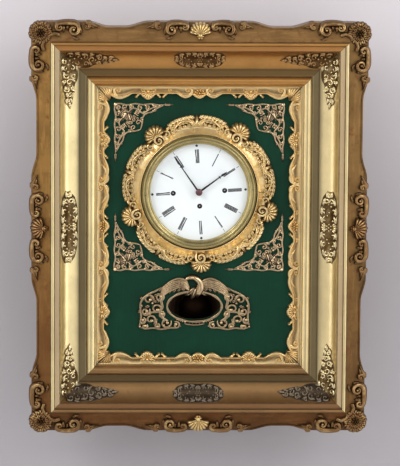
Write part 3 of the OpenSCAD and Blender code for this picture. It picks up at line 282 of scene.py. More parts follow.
def banded_gilding(name, side, leaf, band, cove_rough, cove_metal, wear, low=1.0):
    """Gilding of one rail, with its own tone for each member of its section.

    across is the distance in from the waist of the outer edge. The outer band is matt and brown,
    the beads and the cove are burnished leaf, the fillet is pinkish and the valley is dull and dark
    with dust and painted shade. Bole shows through in patches, the grooves are darkened by dirt and
    by painted shade, and the mitres show as fine cracks.
    """
    shop = Workshop(name)
    upright = side % 2
    sign = 1 if side < 2 else -1
    across = half_of_waist(side) - shop.axis("X" if upright else "Z") * sign
    beside = half_of_waist(side + 1) - abs(shop.axis("Z" if upright else "X"))

    def member(start, end, soft=0.7):
        return across.span(start - soft, start + soft) * (1 - across.span(end - soft, end + soft))

    def line(place, half):
        return 1 - abs(across - place).span(0.2, half)

    long_way = (1.0, 1.0, 7.0) if upright else (7.0, 1.0, 1.0)
    clouds = shop.noise(60, 4, 0.6)
    streaks = shop.noise(6, 5, 0.65, stretch=long_way, shift=2.0)
    patches = shop.noise(13, 6, 0.68, shift=5.0)
    grain = shop.noise(1.3, 3, 0.7, shift=1.0)
    outer = 1 - across.span(BAND_W - 1.0, BAND_W + 0.3)
    fillet = member(BAND_W + BEAD_W, COVE_AT)
    cove = member(COVE_AT, VALLEY_AT, 1.6)
    valley = member(VALLEY_AT - 1.5, VALLEY_AT + 10.6, 2.0)

    gold = shop.mix(clouds.span(0.3, 0.7), leaf, shade(leaf, 0.8))
    gold = shop.mix(streaks.span(0.5, 0.8) * 0.35, gold, shade(leaf, 1.2))
    gold = shop.mix(fillet * 0.7, gold, (leaf[0] * 0.9, leaf[1] * 0.80, leaf[2] * 0.9))
    # The valley turns dull and dark: dust, and painted shade in this recess.
    gold = shop.mix(valley * 0.85, gold, DUSTY_SHADED_VALLEY)

    brown = shop.mix(clouds.span(0.35, 0.7), band, shade(band, 0.72))
    brown = shop.mix(streaks.span(0.46, 0.72) * 0.6, brown, shade(band, 1.5))
    brown = shop.mix(patches.span(0.5, 0.7) * 0.45, brown, shade(band, 0.5))
    low_down = (1 - shop.axis("Z").span(-230, 110)) * (0.5 + clouds * 0.5)
    brown = shop.mix(low_down * upright * low, brown, (band[0] * 0.46, band[1] * 0.34, band[2] * 0.42))
    dusty = (1 - across.span(-6.0, 7.0)) * patches.span(0.3, 0.6) * 0.55
    gold = shop.mix(outer, gold, shop.mix(dusty, brown, DUST))

    near_bead = member(BAND_W - 6.5, BAND_W - 0.5, 2.4)
    rub = (patches * 0.55 + streaks * 0.45).span(0.53, 0.68)
    rubbed = rub * (near_bead * 0.6 + outer * 0.3 + cove * wear + 0.12)
    gold = shop.mix(rubbed.least(0.9), gold, RAIL_BOLE)

    # Dark lines where the members meet, deepest at the cove's start: dirt, and painted shade.
    edges = line(BAND_W, 1.8).most(line(COVE_AT - 0.5, 1.7)).most(line(BAND_W + BEAD_W, 1.2))
    edges = edges.most(line(VALLEY_AT + 11.5, 2.0))
    spots = shop.noise(3.0, 4, 0.7, shift=9.0).span(0.66, 0.8) * 0.4
    mitre = (1 - abs(across - beside).span(0.15, 0.9)) * 0.7
    dirt_and_shade = (edges * (0.4 + patches * 0.7)).most(spots * (0.4 + outer)).most(mitre).least(1.0)
    dull = outer.most(valley * 0.8)
    burnish = cove_rough + patches * 0.10 + streaks * 0.05 + fillet * 0.06
    rough = burnish * (1 - dull) + (0.38 + patches * 0.2) * dull + dirt_and_shade * 0.2 + rubbed * 0.15
    metal = (cove_metal - dirt_and_shade * 0.3 - rubbed * 0.3).most(0.0)
    bare_back(shop, shop.mix(dirt_and_shade, gold, GRIME_AND_SHADE), rough, metal, Specular_IOR_Level=0.2)
    shop.bump(streaks * 0.35 + grain * 0.35 + patches * 0.3, 0.22, 0.45)
    return shop.material


def cast_metal(name, bright, dark, rough=(0.24, 0.4), tarnish_and_shade_span=(0.1, 0.7), metal=1.0):
    """Cast and chased metal: bright on what stands proud, darker in its hollows and down its flanks, as
    tarnish and as painted shade.
    """
    shop = Workshop(name)
    patches = shop.noise(9, 4, 0.6)
    grain = shop.noise(0.8, 3, 0.7, shift=4.0)
    low = 1 - shop.relief().span(*tarnish_and_shade_span)
    tone = shop.mix(patches.span(0.35, 0.75) * 0.5, bright, shade(bright, 0.72))
    shop.surface(
        shop.mix((low * (0.6 + patches * 0.7)).least(1.0), tone, dark),
        rough[0] + (rough[1] - rough[0]) * patches + low * 0.2,
        metal - low * 0.1,
        Specular_IOR_Level=0.15,
    )
    shop.bump(grain * 0.7 + patches * 0.3, 0.12, 0.4)
    return shop.material


def brushed(name, colour, rough=0.28, turned_about=None, metal=1.0):
    """Metal with fine tool marks: rings about an axis through turned_about, else long scratches."""
    shop = Workshop(name)
    patches = shop.noise(18, 4, 0.6)
    if turned_about is None:
        marks = shop.noise(0.5, 2, 0.5, stretch=(14, 1, 1), shift=2.0)
    else:
        across = shop.axis("X") - turned_about[0]
        up = shop.axis("Z") - turned_about[1]
        radius = (across * across + up * up) ** 0.5
        marks = (radius * 9.0 + patches * 5.0).sine() * 0.5 + 0.5
    spots = shop.noise(2.5, 4, 0.7, shift=6.0).span(0.62, 0.8)
    tone = shop.mix(patches.span(0.35, 0.7), colour, shade(colour, 0.75))
    tone = shop.mix(spots * 0.45, tone, shade(colour, 0.35))
    shop.surface(tone, rough + marks * 0.1 + spots * 0.2, Metallic=metal)
    shop.bump(marks * 0.6 + patches * 0.4, 0.05, 0.35)
    return shop.material


def painted_panel(name):
    """Dark green paint on boards: faint brush strokes, cloudy varnish and small nicks."""
    shop = Workshop(name)
    clouds = shop.noise(90, 4, 0.55)
    strokes = shop.noise(2.2, 4, 0.6, stretch=(1, 1, 22), shift=2.0)
    fine = shop.noise(0.9, 3, 0.7, shift=5.0)
    nicks = shop.noise(3.0, 5, 0.75, shift=11.0).span(0.74, 0.82)
    light, dark, streak = GREENS
    tone = shop.mix(clouds.span(0.3, 0.75), light, dark)
    tone = shop.mix(strokes.span(0.45, 0.75) * 0.35, tone, streak)
    tone = shop.mix(nicks * 0.5, tone, NICKED_PAINT)
    bare_back(shop, tone, 0.42 + clouds * 0.14 + strokes * 0.08, Specular_IOR_Level=0.15)
    shop.bump(strokes * 0.7 + fine * 0.3, 0.1, 0.4)
    return shop.material


def enamel(name):
    """White fired enamel, a little uneven, with a cold tint and a glassy coat."""
    shop = Workshop(name)
    clouds = shop.noise(60, 3, 0.5)
    specks = shop.noise(1.6, 4, 0.8, shift=4.0).span(0.76, 0.84)
    tone = shop.mix(specks * 0.25, shop.mix(clouds.span(0.3, 0.7), *WHITES), ENAMEL_SPECK)
    shop.surface(tone, 0.16 + clouds * 0.08, Coat_Weight=0.2, Coat_Roughness=0.08, Specular_IOR_Level=0.3)
    shop.bump(clouds, 0.25, 0.25)
    return shop.material


def softwood(name, light, dark, stretch):
    """Stained softwood: growth rings stretched along the boards, pores, and handling dirt."""
    shop = Workshop(name)
    rings = shop.noise(9, 4, 0.55, stretch=stretch)
    lines = ((rings * 34).sine() * 0.5 + 0.5) ** 1.5
    pores = shop.noise(0.8, 3, 0.7, stretch=tuple(s * 1.4 for s in stretch), shift=3.0)
    dirt = shop.noise(60, 5, 0.6, shift=7.0)
    tone = shop.mix(lines * 0.7, light, dark)
    tone = shop.mix(pores.span(0.55, 0.75) * 0.5, tone, shade(dark, 0.45))
    tone = shop.mix(dirt.span(0.5, 0.8) * 0.45, tone, shade(dark, 0.5))
    shop.surface(tone, 0.52 + dirt * 0.2 + pores * 0.1)
    shop.bump(lines * 0.4 + pores * 0.6, 0.25, 0.5)
    return shop.material


def black_print(name):
    """Fired black figures: nearly black, a touch uneven."""
    shop = Workshop(name)
    clouds = shop.noise(3, 3, 0.6)
    shop.surface(shop.mix(clouds, *BLACKS), 0.25 + clouds * 0.15)
    return shop.material


# Carving: every ornament is a closed skin, a grid of rings in millimetres whose third number is
# the height above the ground that it is carved from, with a relief from 0 to 1 at each point;
# the finishes paint low relief darker, as dirt and tarnish and as painted shade in hollows and on flanks

SINK = 1.0                           # how far a skin's underside lies below its ground


def curve(points, count):
    """A smooth line through given points: cubic pieces whose slope at a point joins its neighbours."""
    points = np.asarray(points, float)
    padded = np.vstack([2 * points[0] - points[1], points, 2 * points[-1] - points[-2]])
    t = np.linspace(0, len(points) - 1, count)
    k = np.minimum(t.astype(int), len(points) - 2)
    f = (t - k)[:, None]
    a, b, c, d = padded[k], padded[k + 1], padded[k + 2], padded[k + 3]
    return 0.5 * (2 * b + (c - a) * f + (2 * a - 5 * b + 4 * c - d) * f**2 + (3 * b - a - 3 * c + d) * f**3)


def spiral(centre, r0, r1, a0, a1, count):
    """Points about a centre: the angle runs evenly from a0 to a1 degrees and the radius from r0 to r1."""
    t = np.linspace(0, 1, count)
    angle = np.radians(a0 + (a1 - a0) * t)
    radius = r0 + (r1 - r0) * t**0.85
    return np.stack([centre[0] + radius * np.cos(angle), centre[1] + radius * np.sin(angle)], 1)


def walk(root, bend, length):
    """A line of even steps from a root, each in its own direction of bend, in radians."""
    step = length / (len(bend) - 1)
    return np.stack([
        root[0] + step * (np.cumsum(np.cos(bend)) - np.cos(bend[0])),
        root[1] + step * (np.cumsum(np.sin(bend)) - np.sin(bend[0])),
    ], 1)


def dome(t):
    """The half circle sqrt(1 - t**2) over -1 to 1."""
    return np.sqrt(np.maximum(0, 1 - t**2))


def ribbon(path, wide, z, relief, sink):
    """A skin along a path: z is its height across it, from one edge to the other, at half width wide.

    Its underside is flat and lies sink below the ground.
    """
    slope = np.gradient(path, axis=0)
    slope /= np.maximum(np.linalg.norm(slope, axis=1, keepdims=True), 1e-9)
    left = np.stack([-slope[:, 1], slope[:, 0]], 1)
    t = np.linspace(-1, 1, z.shape[1])
    plan = path[:, None, :] + left[:, None, :] * (t[None, :] * wide[:, None])[..., None]
    top = np.concatenate([plan, z[..., None]], 2)
    under = top[:, [-1, 0]].copy()
    under[..., 2] = -sink
    return np.concatenate([top, under], 1), np.concatenate([relief, np.zeros((len(path), 2))], 1)


def button(centre, reach, angle, z, relief, sink):
    """A skin of rings about a centre, at distances reach and angles angle, closed by a foot."""
    grid = np.stack([centre[0] + reach * np.cos(angle), centre[1] + reach * np.sin(angle), z], 2)
    foot = grid[-1:].copy()
    foot[..., 2] = -sink
    return np.concatenate([grid, foot]), np.concatenate([relief, np.zeros_like(z[:1])])


def strap(path, half, height, groove=0.0, sink=SINK, points=9, ends=(0.35, 0.35), taper=0.2):
    """A carved strap along a path.

    Across it the top is height * sqrt(1 - t**2), less a dip of groove * exp(-(t / 0.4)**2) in the
    middle; its half width and height shrink to the shares in ends over the last taper of its length.
    """
    path = np.asarray(path, float)
    n = len(path)
    u = np.linspace(0, 1, n)
    shape = np.minimum(*(
        end + (1 - end) * np.sin(np.pi / 2 * np.minimum(1, way / taper))
        for end, way in zip(ends, (u, 1 - u))
    ))
    t = np.linspace(-1, 1, points)
    crown = dome(t) * (1 - groove * np.exp(-((t / 0.4) ** 2)))
    tall = np.broadcast_to(height, n) * (0.35 + 0.65 * shape)
    # The relief falls down the strap's flanks and into its groove, which the finishes paint darker: painted
    # shade.
    relief = np.broadcast_to(crown, (n, points))
    return ribbon(path, np.broadcast_to(half, n) * shape, crown[None, :] * tall[:, None], relief, sink)


def volute(centre, r0, r1, a0, a1, half, height, groove=0.45, eye=1.25):
    """A scroll: a strap that winds in about a centre and ends in a round boss, as two skins."""
    path = spiral(centre, r0, r1, a0, a1, 22)
    width = half * np.linspace(1, 0.62, len(path))
    winding = strap(path, width, height, groove, points=7, ends=(0.3, 0.8))
    return [winding, boss(path[-1], half * eye, height * 1.15)]


def boss(centre, radius, height, sink=SINK, rings=5, around=12):
    """A round button: height * sqrt(1 - r**2) over a disc."""
    r = np.sin(np.linspace(0, np.pi / 2, rings))
    rr, aa = np.meshgrid(r, np.linspace(0, TAU, around, endpoint=False), indexing="ij")
    z = height * dome(rr)
    # The relief falls towards the button's edge, which the finishes paint darker: painted shade.
    return button(centre, radius * rr, aa, z, 0.35 + 0.65 * z / height, sink)


def leaf(root, angle, length, width, height, lobes=5, curl=0.0, sink=SINK):
    """A carved leaf.

    Its half width is width * sin(pi * u**0.75) with a scalloped edge of lobes teeth, its middle
    line bends by curl degrees, and across it the top rises on each side of a sunk midrib, with
    a vein towards each tooth.
    """
    u = np.linspace(0, 1, 16)
    path = walk(root, np.radians(angle + curl * (u - 0.25)), length)
    tooth = np.abs(np.sin(np.pi * lobes * u**1.15)) ** 0.7
    wide = np.maximum(0.04, np.sin(np.pi * u**0.75)) * width * (0.74 + 0.26 * tooth)
    t = np.linspace(-1, 1, 7)
    body = dome(t) * (1 - 0.6 * np.exp(-((t / 0.22) ** 2)))
    swell = np.sin(np.pi * np.clip(u, 0.02, 0.985) ** 0.6) ** 0.6
    rise = body[None, :] * swell[:, None] * (1 - 0.35 * (1 - tooth[:, None]) * np.abs(t)[None, :] ** 0.7)
    # The relief is low along the midrib and at the edges, which the finishes paint darker: painted shade.
    return ribbon(path, wide, height * rise, rise, sink)


def lobe(root, angle, length, width, height, ribs=3, curl=0.0):
    """A plump lobe: an egg-shaped swelling whose top has a few ribs along it.

    Its half width is width * sin(pi * u**0.62)**0.6 and its height follows sqrt(1 - t**2), less
    0.24 between the ribs.
    """
    u = np.linspace(0, 1, 16)
    path = walk(root, np.radians(angle + curl * u), length)
    swell = np.maximum(0.05, np.sin(np.pi * u**0.62)) ** 0.6
    t = np.linspace(-1, 1, 13)
    rib = np.abs(np.cos(np.pi * ribs * t / 2 + (0 if ribs % 2 else np.pi / 2)))
    crown = dome(t) * (1 - 0.24 * (1 - rib**0.8))
    rise = crown[None, :] * swell[:, None]
    # The relief is lower between the ribs, which the finishes paint darker: painted shade.
    return ribbon(path, width * swell, height * rise, rise * (0.4 + 0.6 * rib), SINK)


def shell(root, angle, radius, height, flutes=9, spread=150, rings=12, start=0.45):
    """A fluted shell that opens in a direction from its root.

    Its edge is radius * (0.92 + 0.08 * |cos|) and the flutes are ridges of |cos(flutes * a / 2)|,
    deepest at the edge; the top rises from start * height to the rim, then rolls over.
    """
    a = np.linspace(-0.5, 0.5, flutes * 8 + 1)
    aa, rr = np.meshgrid(a, np.linspace(0, 1, rings), indexing="ij")
    ridge = np.abs(np.cos(np.pi * flutes * aa))
    edge = radius * (0.92 + 0.08 * ridge**0.5) * (1 - 0.16 * np.abs(2 * aa) ** 3)
    way = np.radians(angle + aa * spread)
    lift = (start + (1 - start) * np.sin(np.pi * 0.62 * rr)) * np.sqrt(np.maximum(0, 1 - rr**7))
    z = height * lift * (1 - 0.45 * (1 - ridge**0.55) * rr**0.6)
    top = np.stack([root[0] + edge * rr * np.cos(way), root[1] + edge * rr * np.sin(way), z], 2)
    # The relief is lower between the flutes and at the root, which the finishes paint darker: painted shade.
    return backed(top, lift * (0.15 + 0.85 * ridge**0.7), -SINK)


def backed(top, relief, level):
    """A skin whose underside is its own plan, at a level."""
    rings = top.shape[1]
    under = top[:, ::-1][:, [0, rings // 2, -1]].copy()
    under[..., 2] = level
    flat = np.zeros((len(top), 3))
    return np.concatenate([top, under], 1), np.concatenate([np.clip(relief, 0, 1), flat], 1)


def rosette(centre, radius, height, petals=8, dish=0.55):
    """A flower seen from the front.

    Around it the edge is radius * (0.8 + 0.2 * |cos(petals * a / 2)|); outwards the height makes a
    round eye, a ring groove and a row of petals that swell and fall to the edge.
    """
    around = np.linspace(0, TAU, petals * 8, endpoint=False)
    rr, aa = np.meshgrid(np.linspace(0, 1, 13), around, indexing="ij")
    ridge = np.abs(np.cos(petals * aa / 2))
    eye = np.exp(-((rr / 0.2) ** 4))
    petal = np.sin(np.pi * np.clip((rr - 0.24) / 0.76, 0, 1)) ** dish
    lift = np.maximum(eye, petal * (0.45 + 0.55 * ridge) * 0.85)
    edge = radius * (1 - 0.2 * (1 - ridge**0.7) * rr**2)
    # The relief is low in the ring groove and at the petal edges, which the finishes paint darker: painted
    # shade.
    return button(centre, edge * rr, aa, height * lift, lift, SINK)


def volutes(rows, share, half, height, groove=0.45, eye=1.35):
    """Volutes from rows of place, radius, first and last angle; they end at a share of their radius."""
    return [
        skin for u, v, r, a0, a1 in rows
        for skin in volute((u, v), r, r * share, a0, a1, half, height, groove, eye)
    ]


def leaves(rows, width, height, sink=SINK):
    """Leaves of three teeth from rows of place, angle, length and curl."""
    return [leaf((u, v), angle, length, width, height, 3, curl, sink) for u, v, angle, length, curl in rows]


def bosses(rows, height):
    """Round buttons of one height from rows of place and radius."""
    return [boss((u, v), radius, height) for u, v, radius in rows]


def scaled(skins, along, across, high=1.0):
    """Skins stretched, or with a negative share turned over, in each of their three numbers."""
    return [(grid * np.array([along, across, high]), relief) for grid, relief in skins]


def mirrored(skins):
    """The same skins with their first number reversed."""
    return scaled(skins, -1, 1)


def turned(skins, degrees):
    """Skins turned in plan about their origin."""
    c, s = math.cos(math.radians(degrees)), math.sin(math.radians(degrees))
    out = []
    for grid, relief in skins:
        u, v, high = np.moveaxis(grid, -1, 0)
        out.append((np.stack([u * c - v * s, u * s + v * c, high], -1), relief))
    return out


def slid(skins, along):
    """Skins shifted in their first number."""
    return [(grid + np.array([along, 0, 0]), relief) for grid, relief in skins]


# Grounds that the carving is laid on: each turns (u, v, height) in millimetres into the clock's place


def on_front(depth, x=0.0, z=0.0):
    """A plane that faces the viewer, at a depth from the wall."""
    return lambda g: np.stack([x + g[..., 0], -(depth + g[..., 2]), z + g[..., 1]], -1)


def to_side(side, along, out, depth):
    """Places of a rail's own measures: 0 top, 1 right, 2 bottom, 3 left; out is from the middle."""
    x, z = ((along, out), (out, -along), (-along, -out), (-out, along))[side]
    return np.stack([x, -depth, z], -1)


def on_band(side):
    """The sloping outer band: v is outwards from the waist line."""
    slope = (BAND_H - EDGE_H) / BAND_W

    def place(g):
        v = g[..., 1]
        ground = EDGE_H - np.clip(v, -BAND_W, SWEEP) * slope
        return to_side(side, g[..., 0], half_of_waist(side) + v, DOOR_BACK + ground + g[..., 2])

    return place


def on_cove(side):
    """The cove's cylinder: v is the arc length out from its middle, height is towards its axis."""
    middle = math.atan2(VALLEY_AT - COVE_AT, COVE_R - (FILLET_H - COVE_H)) / 2

    def place(g):
        angle = middle + g[..., 1] / COVE_R
        radius = COVE_R - g[..., 2]
        into = VALLEY_AT - radius * np.sin(angle)
        depth = DOOR_BACK + COVE_H + COVE_R - radius * np.cos(angle)
        return to_side(side, g[..., 0], half_of_waist(side) - into, depth)

    return place


def in_corners(skins, depth, x_ends, z_ends):
    """A motif drawn inwards from its corner, laid in the four corners of a rectangle on the front."""
    return [
        (scaled(skins, sx, sz), on_front(depth, x, z))
        for x, sx in zip(x_ends, (1, -1)) for z, sz in zip(z_ends, (1, -1))
    ]


MERGE = 0.004                        # points nearer than this become one


def make_piece(name, pairs, body, material, replaces=(), smooth=True):
    """One mesh of pairs of skins and the ground that they are laid on, whose ends close to points."""
    points, faces, relief, count = [], [], [], 0
    for skins, ground in pairs:
        for grid, high in skins:
            poles = [np.broadcast_to(row.mean(1, keepdims=True), row.shape) for row in (grid[:1], grid[-1:])]
            n, m = len(grid) + 2, grid.shape[1]
            points.append(ground(np.concatenate([poles[0], grid, poles[1]])).reshape(-1, 3))
            relief.append(np.concatenate([high[:1], high, high[-1:]]).reshape(-1))
            i, j = np.meshgrid(np.arange(n - 1), np.arange(m), indexing="ij")
            a, b = i * m + j, i * m + (j + 1) % m
            faces.append(np.stack([a, b, b + m, a + m], -1).reshape(-1, 4) + count)
            count += n * m
    mesh = bpy.data.meshes.new(name)
    mesh.from_pydata(np.concatenate(points) * MM, [], np.concatenate(faces))
    mesh.attributes.new("relief", "FLOAT", "POINT").data.foreach_set("value", np.concatenate(relief))
    skin = bmesh.new()
    skin.from_mesh(mesh)
    bmesh.ops.remove_doubles(skin, verts=skin.verts, dist=MERGE * MM)
    bmesh.ops.dissolve_degenerate(skin, edges=skin.edges, dist=MERGE * MM)
    bmesh.ops.recalc_face_normals(skin, faces=skin.faces)
    skin.to_mesh(mesh)
    skin.free()
    mesh.polygons.foreach_set("use_smooth", np.full(len(mesh.polygons), smooth))
    mesh.materials.append(material)
    piece = bpy.data.objects.new(name, mesh)
    bpy.context.scene.collection.objects.link(piece)
    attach(piece, body)
    if replaces:
        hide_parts(*replaces)


# Each rail has its own leaf and band colours: bright on the sides, dark and brown at the top and bottom. This
# is partly tarnish and partly painted light and shade, for how each rail faces the lamps.
LIT_AND_SHADED_RAIL_FINISH = [
    banded_gilding("gilded_top_rail", 0, (0.49, 0.25, 0.075), (0.245, 0.134, 0.050), 0.30, 0.9, 0.14),
    banded_gilding("gilded_right_rail", 1, (0.80, 0.64, 0.34), (0.20, 0.112, 0.041), 0.22, 0.95, 0.08, 0.35),
    banded_gilding("gilded_bottom_rail", 2, (0.30, 0.170, 0.070), (0.145, 0.065, 0.023), 0.36, 0.85, 0.35),
    banded_gilding("gilded_left_rail", 3, (0.84, 0.69, 0.37), (0.30, 0.162, 0.050), 0.22, 0.95, 0.06),
]

# Carved wood and composition: colours of the leaf, of its hollows, darkened by dirt and by painted shade, and
# of its bole
CARVED_GOLD = gilding(
    "carved_gold", (0.76, 0.56, 0.26), (0.10, 0.05, 0.02), (0.42, 0.17, 0.06), wear=0.35, dirt=0.9,
)
PALE_GOLD = gilding(
    "liner_gold", (0.84, 0.61, 0.29), (0.080, 0.040, 0.014), (0.40, 0.19, 0.07), wear=0.35, dirt=0.95,
)
SURROUND_GOLD = gilding(
    "surround_gold", (0.86, 0.66, 0.34), (0.070, 0.034, 0.011), (0.42, 0.20, 0.08),
    rough=(0.22, 0.36), wear=0.15, dirt=1.0,
)
# The bronzed and red gold get bright patches on their tops: rubbed leaf and painted highlight.
BRONZED_GOLD = gilding(
    "bronzed_gold", (0.235, 0.132, 0.056), (0.022, 0.013, 0.008), (0.10, 0.040, 0.022),
    rough=(0.26, 0.42), metal=0.9, wear=0.4, dirt=1.0, rub_and_highlight=(0.62, 0.43, 0.19),
)
RED_GOLD = gilding(
    "red_gold", (0.32, 0.175, 0.072), (0.030, 0.015, 0.008), (0.20, 0.07, 0.035),
    rough=(0.26, 0.42), wear=0.4, dirt=1.0, rub_and_highlight=(0.60, 0.41, 0.18),
)

# Cast metal: its bright colour and the colour of its hollows and flanks, tarnish and painted shade
CAST_SILVER = cast_metal("bright_casting", (0.88, 0.74, 0.44), (0.11, 0.062, 0.020), (0.20, 0.32))
CAST_GILT = cast_metal("brown_casting", (0.44, 0.27, 0.12), (0.085, 0.042, 0.014), (0.26, 0.40))
CAST_GREY = cast_metal("grey_casting", (0.23, 0.185, 0.135), (0.062, 0.042, 0.026), (0.34, 0.48), metal=0.9)
OLD_BRASS = cast_metal("old_brass", (0.58, 0.43, 0.255), (0.020, 0.013, 0.008), (0.20, 0.33), (0.45, 0.97))
PINK_BRASS = cast_metal("pink_brass", (0.82, 0.62, 0.38), (0.022, 0.013, 0.008), (0.15, 0.27), (0.45, 0.98))
CRACK = cast_metal("crack_dirt", (0.05, 0.03, 0.015), (0.02, 0.012, 0.008), (0.6, 0.8), metal=0.3)

BEZEL_BRASS = brushed("bezel_brass", (0.48, 0.395, 0.185), 0.26, turned_about=(DIAL_X, DIAL_Z))
CLOCK_BRASS = brushed("clock_brass", (0.72, 0.53, 0.22), 0.24)
HINGE_BRASS = brushed("hinge_brass", (0.52, 0.38, 0.17), 0.34)
# The bob's bronze is nearly black: painted shade, as it hangs deep in the dark case.
BOB_SHADED_BRONZE = brushed("bob_bronze", (0.035, 0.018, 0.010), 0.42)
STEEL = brushed("steel", (0.52, 0.51, 0.49), 0.24)
BLUED_STEEL = brushed("blued_steel", (0.055, 0.06, 0.10), metal=0.9)
HAND_STEEL = brushed("hand_steel", (0.035, 0.028, 0.035), 0.30, metal=0.7)
IRON = brushed("iron", (0.10, 0.09, 0.085), 0.46, metal=0.85)
HUB = brushed("hub_bronze", (0.15, 0.075, 0.08), 0.4, metal=0.7)

PINE = ((0.26, 0.14, 0.066), (0.12, 0.06, 0.028))
PINE_UP = softwood("stained_pine", *PINE, stretch=(1, 1, 18))
PINE_ACROSS = softwood("stained_pine_ends", *PINE, stretch=(18, 1, 1))

FINISHES = [
    (PINE_UP, ("back_board", "box_sides")),
    (PINE_ACROSS, ("box_ends",)),
    (IRON, ("hanging_plate", "bezel_screws", "gong_block")),
    (HINGE_BRASS, ("box_hinge_leaves", "frame_hinge_leaves", "catch_hook", "catch_stud")),
    (STEEL, ("hinge_pins", "movement_posts", "cannon_pinion", "pallet_anchor")),
    (BLUED_STEEL, ("hour_gong", "quarter_gong")),
    # The winding arbors take the hands' near-black: painted shade that keeps the winding holes dark.
    (HAND_STEEL, ("minute_hand", "hour_hand", "going_arbor", "hour_arbor", "quarter_arbor")),
    (painted_panel("green_paint"), ("door_panel",)),
    (enamel("enamel"), ("dial",)),
    (BEZEL_BRASS, ("bezel",)),
    (BOB_SHADED_BRONZE, ("pendulum_bob",)),
    *zip(LIT_AND_SHADED_RAIL_FINISH, (("frame_top",), ("frame_right",), ("frame_bottom",), ("frame_left",))),
]
NODE_FINISH = {node: finish for finish, nodes in FINISHES for node in nodes}

for node_name, node_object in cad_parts.items():
    node_object.data.materials.clear()
    node_object.data.materials.append(NODE_FINISH.get(node_name, CLOCK_BRASS))


# Outer ornament of the frame: corner clusters and the crests in the middle of the sides

FLOWER_UP = 1.5                      # how far the corner flowers stand above the band's edge


def c_scroll(near, far, back, height, half):
    """A C-scroll seen from the front: it winds out of a small volute, arches and winds into a big one.

    near and far are the (along, radius) of the two volutes and back is how far out the arch lies.
    """
    (x0, r0), (x1, r1) = near, far
    top = back - half
    path = np.concatenate([
        spiral((x0, top - r0), r0 * 0.3, r0, 420, 96, 24)[:-1],
        curve([(x0, top), ((x0 + x1) / 2, top + 0.8), (x1, top)], 14),
        spiral((x1, top - r1), r1, r1 * 0.3, 86, -330, 44)[1:],
    ])
    share = np.linspace(0, 1, len(path))
    width = half * np.interp(share, [0, 0.2, 0.45, 0.62, 1], [0.5, 0.9, 1.2, 0.9, 0.5])
    return [
        strap(path, width, height, 0.10, ends=(0.7, 0.8)),
        boss((x0, top - r0), r0 * 0.4, height * 1.15),
        boss((x1, top - r1), r1 * 0.36, height * 1.1),
        lobe((x0 + 7, top - 3), -104, 12, 3.4, height * 0.75, 2, curl=20),
        lobe((x0 + 12, top - 3), -84, 9, 2.8, height * 0.7, 2, curl=-10),
        lobe((x1 + r1 - 1, top - r1 * 0.6), -60, 13, 3.2, height * 0.7, 2, curl=-40),
        leaf((x1 - 2, top - 2 * r1 - 1), -30, 13, 2.6, height * 0.5, 3, curl=46),
    ]


def comma(x0, x1, top, height=8.0):
    """The small curl after a C-scroll: a little volute whose back tapers into the rim."""
    path = np.concatenate([
        spiral((x0 + 5, top - 8), 1.4, 5.2, -220, 110, 16)[:-1],
        curve([(x0 + 4.0, top - 3), (x0 + 9, top - 2.4), ((x0 + x1) / 2, top - 4.6), (x1, top - 10.5)], 20),
    ])
    width = np.interp(np.linspace(0, 1, len(path)), [0, 0.4, 0.7, 1], [2.2, 3.6, 3.2, 1.0])
    return [
        strap(path, width, height, 0.15, ends=(0.8, 0.4)),
        boss((x0 + 5, top - 8), 2.4, height * 1.1),
        lobe((x0 + 9, top - 7), -14, (x1 - x0) * 0.5, 3.8, height * 0.75, 2, curl=6),
    ]


def corner_flower():
    """The flower of a corner, about the corner of the waist lines; both numbers run inwards.

    Two rings of small domed shells crowd round a rosette, like a full rose, and a tongue runs
    from it into each arm.
    """
    x, y = 7.0, 8.5
    skins = []
    for count, start, reach, high, turn in ((9, 7.6, 12.0, 8.5, 8), (7, 3.6, 9.6, 11.5, 30)):
        for degrees in 360 / count * np.arange(count) + turn:
            a = math.radians(degrees)
            root = (x + start * math.cos(a), y + start * math.sin(a))
            skins.append(shell(root, degrees + 12, reach, high, 5, start=0.6))
    tongue = np.array([(12, 36), (9.5, 29), (13, 21), (17, 16)])
    tongues = [
        strap(curve(points, 22), np.linspace(4.2, 2.8, 22), 9.5, 0.12, ends=(0.9, 0.75))
        for points in (tongue, tongue[:, ::-1])
    ]
    return [*skins, rosette((x, y), 6.2, 14.5, 6), *tongues]


def outer_ornament():
    """Each arm, and each half of a crest, is a C-scroll with its back to the edge and a small curl."""
    arm = c_scroll((36, 6.0), (58, 9.8), 11.0, 10.5, 4.5) + comma(73, 97, 10.0)
    half = c_scroll((24, 5.4), (44, 9.2), 10.6, 9.4, 4.2) + comma(59, 83, 9.6, 7.4)
    crest = half + mirrored(half)
    middle = [shell((0, -11), 90, 21.0, 10.5, 9, 165), boss((0, -11), 5.0, 9.0), rosette((0, -13), 6, 7.5, 6)]
    corners = []
    for side in range(4):
        reach = half_length(side)
        corners += [(slid(arm, -reach), on_band(side)), (slid(mirrored(arm), reach), on_band(side))]
    corners += in_corners(
        corner_flower(), DOOR_BACK + EDGE_H + FLOWER_UP,
        (-WAIST_W / 2, WAIST_W / 2), (-WAIST_H / 2, WAIST_H / 2),
    )
    crests = [(crest, on_band(side)) for side in range(4)]
    shells = [(middle, on_band(side)) for side in range(4)]
    make_piece("corner_carving", corners, "front_frame", BRONZED_GOLD, ("corner_clusters",))
    make_piece("crest_carving", crests, "front_frame", BRONZED_GOLD, ("edge_crests",))
    make_piece("crest_shells_bright", shells[0::2], "front_frame", CARVED_GOLD)
    make_piece("crest_shells_dark", shells[1::2], "front_frame", RED_GOLD)


outer_ornament()


# Castings that lie in the cove: a spray on each arm of a corner and a cartouche in each middle

CAST_ACROSS, CAST_HIGH = 1.22, 1.08  # how the castings fill the cove
SPRAY_ALONG = 0.9
CARTOUCHE_ALONG = {"top": 0.86, "side": 1.22, "bottom": 0.86}
CAST_SINK = 0.8


